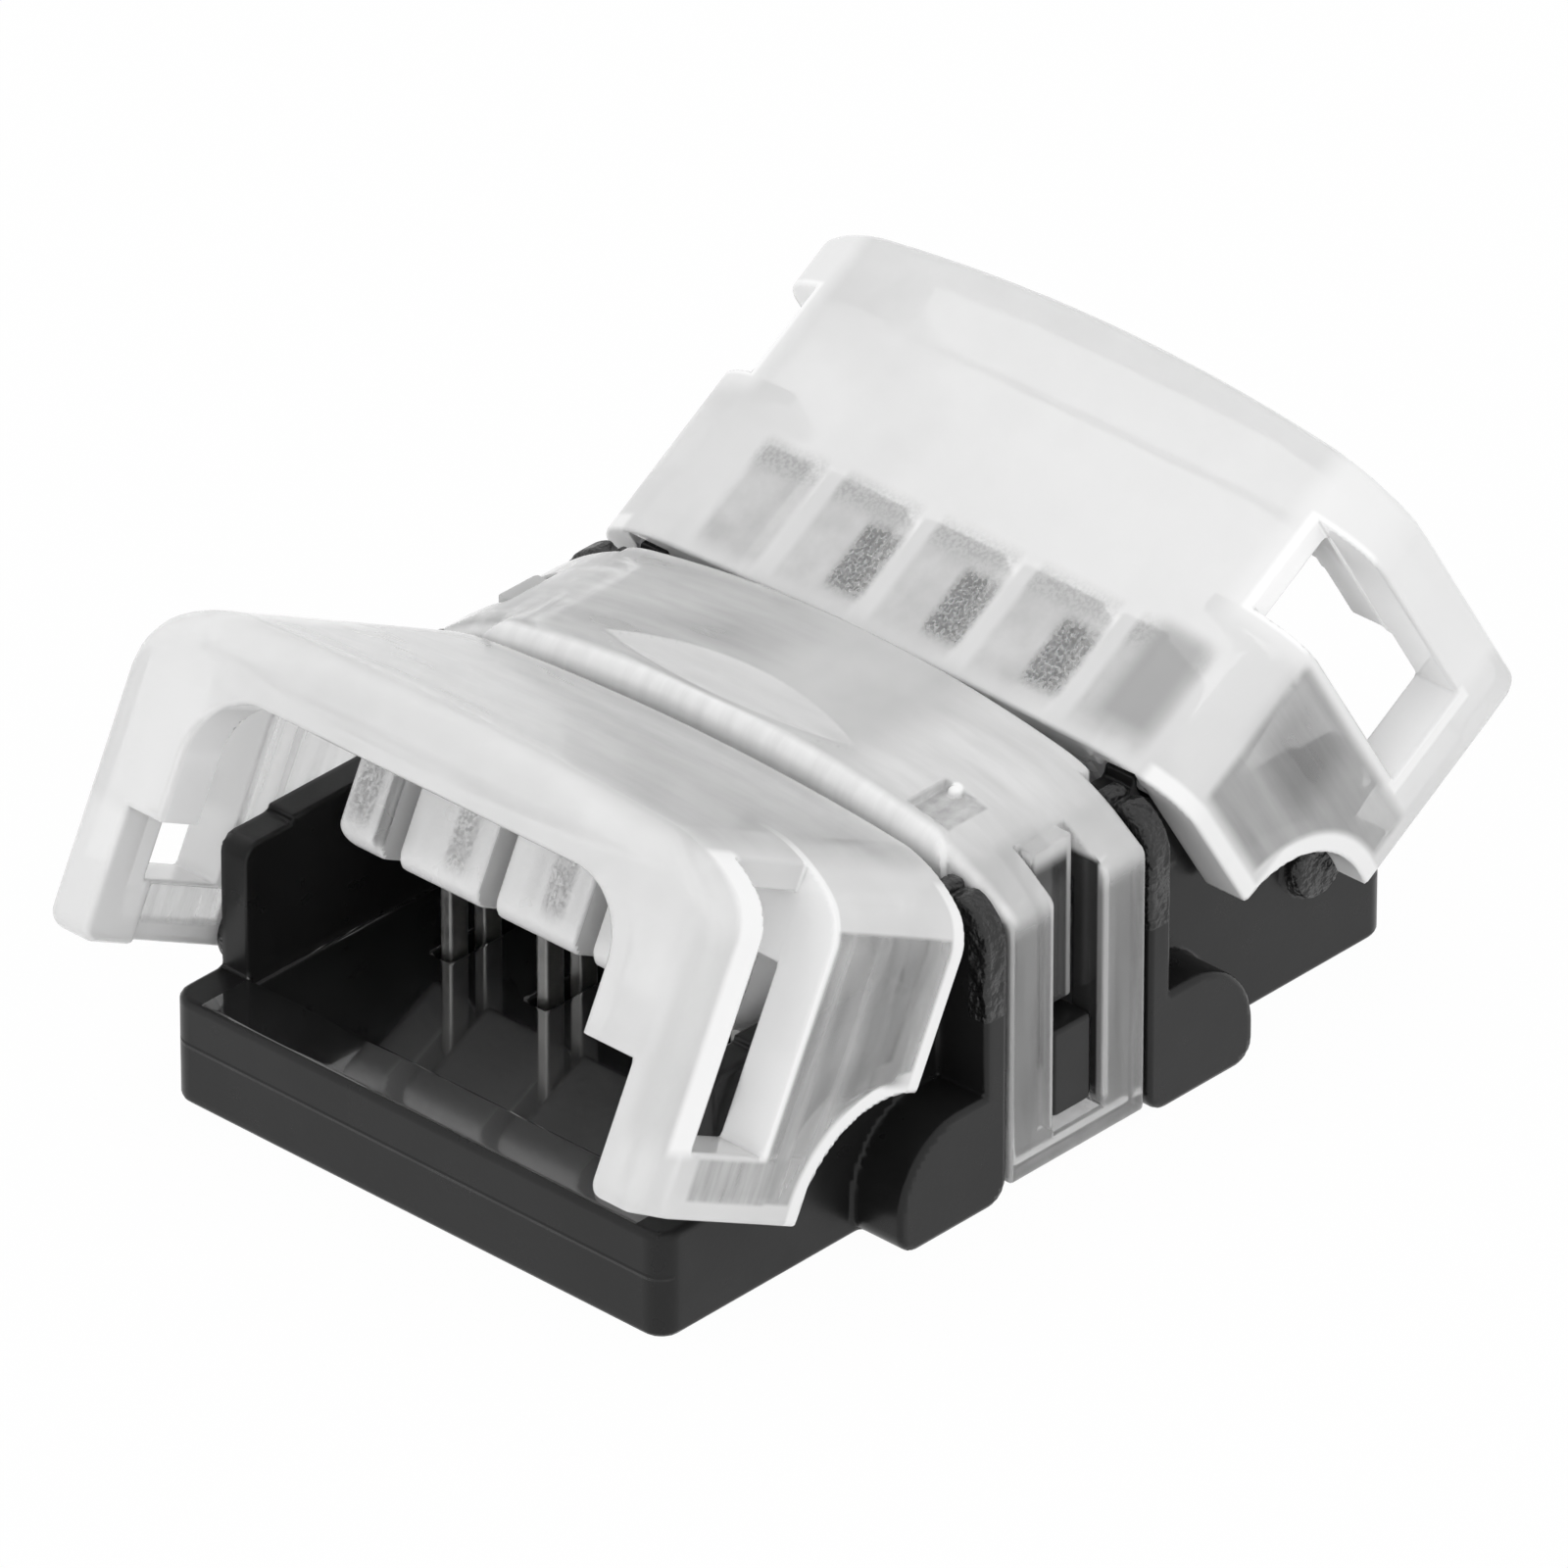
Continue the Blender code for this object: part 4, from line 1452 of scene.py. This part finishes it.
@dataclass
class Cover:
    """The clear middle cover, in millimetres."""

    # Bridge and legs
    half_overall: float = 7.15
    crown: float = 7.25
    side_top: float = 5.6
    shoulder: tuple = (5.85, 6.6)
    crown_edge: float = 0.4
    shoulder_edge: float = 0.12
    half_top: float = 1.95
    half_leg: float = 1.75
    top_reach: float = 5.6
    foot: float = 0.2
    foot_edge: float = 0.12
    side_edge: float = 0.10
    front_extra: float = 0.42
    back_extra: float = 0.08
    extra_heights: tuple = (5.4, 6.3)
    wall: float = 0.7
    leg_wall: float = 0.8
    inner_edge: float = 0.3
    cut_edge: float = 0.05
    # Windows in the legs and tongues behind them
    window_half: float = 0.64
    window_inner: float = 6.14
    window_foot: float = 0.8
    window_edge: float = 0.06
    tongue_low: tuple = (-0.5, 6.1, 2.9)
    tongue_high: tuple = (0.5, 6.5, 6.25)
    # Lens-shaped recess in the top: middle and radius of its two arcs, slope and depth
    lens_middle: float = 0.3
    lens_front: tuple = (-7.4, 6.95)
    lens_back: tuple = (4.9, 6.75)
    lens_slope: float = 0.3
    lens_reach: float = 0.45
    lens_edge: float = 0.04
    # Gate's recess and the dot left by the gate
    gate_low: tuple = (-1.45, -5.35, 6.68)
    gate_high: tuple = (-0.45, -4.35, 8.0)
    dot: tuple = (-0.51, -4.63, 6.72)
    dot_radius: float = 0.14
    dot_edge: float = 0.04
    pitch: float = 0.07

    def arch(self, v: Array, z: Array, wall: float, leg_wall: float, rounding: float) -> Array:
        """The crowned outline, moved inwards by a wall.

        Args:
            v: Distance from the middle plane.
            z: Height.
            wall: Thickness of the top.
            leg_wall: Thickness of the legs.
            rounding: Radius between the top and its shoulders.

        Returns:
            Signed distance.
        """
        half = self.half_overall - leg_wall
        inner = (self.shoulder[0] - wall / 2, self.shoulder[1] - wall)
        slant = slope(v, z, (half, self.side_top - wall / 2), inner)
        drop = (self.crown - self.shoulder[1]) * (v / self.shoulder[0]) ** 2
        top = z - (self.crown - wall - drop)
        return meet(meet(v - half, slant, self.shoulder_edge), top, rounding)

    def bridge(self, x: Array, v: Array, z: Array) -> Array:
        """The bridge with its two legs, before anything is cut out or added.

        Args:
            x: Place along the part.
            v: Distance from the middle plane.
            z: Height.

        Returns:
            Signed distance.
        """
        u = np.abs(x)
        width = np.minimum(u - self.half_leg, np.maximum(u - self.half_top, v - self.top_reach))
        extra = np.where(x < 0.0, self.front_extra, self.back_extra)
        rounding = self.side_edge + extra * share_between(z, self.extra_heights)
        body = meet(self.arch(v, z, 0.0, 0.0, self.crown_edge), width, rounding)
        body = meet(body, self.foot - z, self.foot_edge)
        return carve(body, self.arch(v, z, self.wall, self.leg_wall, self.inner_edge), self.cut_edge)

    def shape(self, x: Array, y: Array, z: Array) -> Array:
        """The whole moulding.

        Args:
            x, y, z: Points.

        Returns:
            Signed distance.
        """
        v = np.abs(y)
        window = np.maximum(np.abs(x) - self.window_half, self.window_inner - v)
        window = np.maximum(window, self.window_foot - z)
        body = carve(self.bridge(x, v, z), window, self.window_edge)
        tongue = block(x, v, z, self.tongue_low, self.tongue_high, self.cut_edge)
        body = join(body, tongue, self.cut_edge)
        gate = block(x, y, z, self.gate_low, self.gate_high, self.cut_edge)
        body = carve(carve(body, self.lens(x, y, z), self.lens_edge), gate, self.cut_edge)
        away = (x - self.dot[0]) ** 2 + (y - self.dot[1]) ** 2 + (z - self.dot[2]) ** 2
        return join(body, np.sqrt(away) - self.dot_radius, self.dot_edge)

    def lens(self, x: Array, y: Array, z: Array) -> Array:
        """The shallow lens-shaped recess on the top.

        Args:
            x, y, z: Points.

        Returns:
            Signed distance.
        """
        arcs = []
        for middle, radius in (self.lens_front, self.lens_back):
            arcs.append(np.hypot(x - middle, y - self.lens_middle) - radius)
        outline = np.maximum(*arcs)
        drop = (self.crown - self.shoulder[1]) * (np.abs(y) / self.shoulder[0]) ** 2
        floor = self.crown - drop + self.lens_slope * np.maximum(outline, -self.lens_reach)
        return np.maximum(outline, floor - z)

    def build(self, cabinet: Cabinet) -> bpy.types.Object:
        """Makes the piece and dresses it.

        Args:
            cabinet: Where the materials are kept.

        Returns:
            The piece, in place of the plain one.
        """
        low = (-self.half_top, -self.half_overall, self.foot)
        high = (self.half_top, self.half_overall, self.crown)
        skin = skin_over(self.shape, low, high, self.pitch)
        made = piece_from(skin, "cover_moulding", Matrix.Identity(4))
        dress(made, [Look.COVER], np.zeros(len(skin.faces)), cabinet)
        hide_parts("centre_cover")
        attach(made, "base")
        report(made)
        return made


@dataclass
class Contact:
    """One stamped contact, in millimetres."""

    index: int
    y: float
    half_length: float = 5.0
    bar: tuple = (0.7, 1.5)
    thickness: float = 0.27
    prong_ends: tuple = (4.97, 4.11)
    prong_width: float = 0.46
    prong_foot: float = 1.0
    prong_corner: float = 0.02
    prong_top: float = 4.5
    point_height: float = 0.5
    edge: float = 0.04
    half_room: float = 0.2
    pitch: float = 0.05

    def shape(self, x: Array, y: Array, z: Array) -> Array:
        """Bar on edge with two pointed prongs at each end.

        Args:
            x, y, z: Points.

        Returns:
            Signed distance.
        """
        u = np.abs(x)
        half = self.prong_width / 2
        shape = area(u, z, (-self.half_length, self.bar[0]), (self.half_length, self.bar[1]))
        for end in self.prong_ends:
            low, high = (end - self.prong_width, self.prong_foot), (end, self.prong_top)
            prong = area(u, z, low, high, self.prong_corner)
            point = np.abs(u - (end - half)) * self.point_height + (z - self.prong_top) * half
            point = point / math.hypot(self.point_height, half)
            shape = np.minimum(shape, np.maximum(prong, point))
        return meet(shape, np.abs(y - self.y) - self.thickness / 2, self.edge)

    def build(self, cabinet: Cabinet) -> bpy.types.Object:
        """Makes the piece and dresses it.

        Args:
            cabinet: Where the materials are kept.

        Returns:
            The piece, in place of the plain one.
        """
        low = (-self.half_length, self.y - self.half_room, self.bar[0])
        high = (self.half_length, self.y + self.half_room, self.prong_top)
        skin = skin_over(self.shape, low, high, self.pitch)
        name = "contact_%d" % self.index
        made = piece_from(skin, name + "_stamping", Matrix.Identity(4))
        dress(made, [Look.METAL], np.zeros(len(skin.faces)), cabinet)
        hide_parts(name)
        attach(made, "base")
        report(made)
        return made


# Surroundings


@dataclass
class Studio:
    """Floor, world, lamps and camera, in metres and radians.

    Attributes:
        azimuth: Direction of the camera round the part.
        elevation: Its height over the part, as an angle.
        distance: How far it stands from the target.
        target: The place that it is aimed at.
        pixels_per_metre: Scale of the photograph at the target.
        target_pixel: Where the target is seen in the photograph.
        image: Side of the photograph, in pixels.
        sensor: Side of the camera's sensor, in millimetres.
        floor_half: Half the floor's side.
        floor_shade: The floor's grey.
        floor_glow: How much of the plain background the floor shows, the rest being shadow.
        surround: How strongly the surround lights matt surfaces.
        lamps: Name, place, side and power in watts of each lamp.
    """

    azimuth: float = -0.8177913
    elevation: float = 0.5477423
    distance: float = 0.400
    target: tuple = (0.0, 0.0, 0.0035)
    pixels_per_metre: float = 57503.2
    target_pixel: tuple = (798.364, 861.618)
    image: float = 1600.0
    sensor: float = 36.0
    floor_half: float = 0.6
    floor_shade: float = 0.85
    floor_glow: float = 0.975
    surround: float = 0.8
    lamps: tuple = (
        ("key", (-0.06, 0.08, 0.32), 0.25, 0.14),
        ("front", (-0.26, -0.14, 0.14), 0.25, 0.18),
        ("side", (0.10, -0.28, 0.14), 0.20, 0.10),
    )

    def back(self) -> Vector:
        """Direction from the target to the camera."""
        return Vector(
            (
                math.sin(self.azimuth) * math.cos(self.elevation),
                -math.cos(self.azimuth) * math.cos(self.elevation),
                math.sin(self.elevation),
            )
        )

    def camera(self) -> None:
        """Places the camera as it stood for the photograph."""
        data = bpy.data.cameras.new("camera")
        data.sensor_width = self.sensor
        data.lens = self.pixels_per_metre * self.distance / self.image * self.sensor
        data.shift_x = (self.image / 2 - self.target_pixel[0]) / self.image
        data.shift_y = (self.target_pixel[1] - self.image / 2) / self.image
        data.clip_start = 0.01
        data.clip_end = 20.0
        made = bpy.data.objects.new("camera", data)
        made.location = Vector(self.target) + self.back() * self.distance
        made.rotation_mode = "QUATERNION"
        made.rotation_quaternion = (-self.back()).to_track_quat("-Z", "Y")
        bpy.context.scene.collection.objects.link(made)
        bpy.context.scene.camera = made

    def seen(self, tree: bpy.types.NodeTree, diffuse: float) -> object:
        """How much of the plain background colour a ray gets.

        Args:
            tree: Node tree of the floor or the world.
            diffuse: The share that rays from matt surfaces get.

        Returns:
            A socket that is 1 for camera, mirror and glass rays.
        """
        path = tree.nodes.new("ShaderNodeLightPath")
        last = path.outputs["Is Camera Ray"]
        for name in ("Is Glossy Ray", "Is Transmission Ray"):
            node = tree.nodes.new("ShaderNodeMath")
            node.operation = "MAXIMUM"
            tree.links.new(last, node.inputs[0])
            tree.links.new(path.outputs[name], node.inputs[1])
            last = node.outputs[0]
        node = tree.nodes.new("ShaderNodeMapRange")
        node.inputs["To Min"].default_value = diffuse
        node.inputs["To Max"].default_value = 1.0
        tree.links.new(last, node.inputs["Value"])
        return node.outputs["Result"]

    def floor(self) -> None:
        """Lays a plain white floor that keeps a faint shadow."""
        mesh = bpy.data.meshes.new("floor")
        size = self.floor_half
        corners = [(-size, -size, 0), (size, -size, 0), (size, size, 0), (-size, size, 0)]
        mesh.from_pydata(corners, [], [(0, 1, 2, 3)])
        made = bpy.data.objects.new("floor", mesh)
        bpy.context.scene.collection.objects.link(made)
        material = bpy.data.materials.new("floor_white")
        material.use_nodes = True
        tree = material.node_tree
        shader = tree.nodes["Principled BSDF"]
        shader.inputs["Base Color"].default_value = (*(self.floor_shade,) * 3, 1.0)
        shader.inputs["Roughness"].default_value = 0.9
        shader.inputs["Specular IOR Level"].default_value = 0.0
        glow = tree.nodes.new("ShaderNodeEmission")
        glow.inputs["Color"].default_value = (1.0, 1.0, 1.0, 1.0)
        glow.inputs["Strength"].default_value = 1.0
        mix = tree.nodes.new("ShaderNodeMixShader")
        share = tree.nodes.new("ShaderNodeMath")
        share.operation = "MULTIPLY"
        share.inputs[1].default_value = self.floor_glow
        tree.links.new(self.seen(tree, 0.0), share.inputs[0])
        tree.links.new(share.outputs[0], mix.inputs["Fac"])
        tree.links.new(shader.outputs["BSDF"], mix.inputs[1])
        tree.links.new(glow.outputs["Emission"], mix.inputs[2])
        tree.links.new(mix.outputs["Shader"], tree.nodes["Material Output"].inputs["Surface"])
        mesh.materials.append(material)

    def world(self) -> None:
        """Sets a white surround, dimmer as a light than as a background."""
        world = bpy.data.worlds.new("surround")
        bpy.context.scene.world = world
        world.use_nodes = True
        tree = world.node_tree
        background = tree.nodes["Background"]
        background.inputs["Color"].default_value = (1.0, 1.0, 1.0, 1.0)
        tree.links.new(self.seen(tree, self.surround), background.inputs["Strength"])

    def lamp(self, name: str, place: tuple, size: float, power: float) -> None:
        """Hangs one soft lamp that looks at the part.

        Args:
            name: Its name.
            place: Where it hangs, in metres.
            size: Side of its square face.
            power: Its power in watts.
        """
        data = bpy.data.lights.new(name, "AREA")
        data.size = size
        data.energy = power
        made = bpy.data.objects.new(name, data)
        made.location = place
        made.rotation_mode = "QUATERNION"
        made.rotation_quaternion = (Vector(self.target) - Vector(place)).to_track_quat("-Z", "Y")
        made.visible_glossy = False
        bpy.context.scene.collection.objects.link(made)

    def build(self) -> None:
        """Sets everything up."""
        bpy.context.scene.view_settings.view_transform = "Standard"
        self.world()
        self.floor()
        for lamp in self.lamps:
            self.lamp(*lamp)
        self.camera()


def main() -> None:
    """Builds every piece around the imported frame."""
    logging.basicConfig(level=logging.INFO, format="%(message)s")
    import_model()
    cabinet = Cabinet()
    Base().build(cabinet)
    Cover().build(cabinet)
    Lid("front_lid", -1.0, math.radians(27.0), Look.FRONT_LID, mouth_shift=-0.2).build(cabinet)
    Lid("back_lid", 1.0, math.radians(31.5), Look.BACK_LID, brow=0.12, rim=0.12).build(cabinet)
    for index in range(4):
        Contact(index + 1, (index - 1.5) * CONTACT_PITCH).build(cabinet)
    Studio().build()


if __name__ == "__main__":
    main()
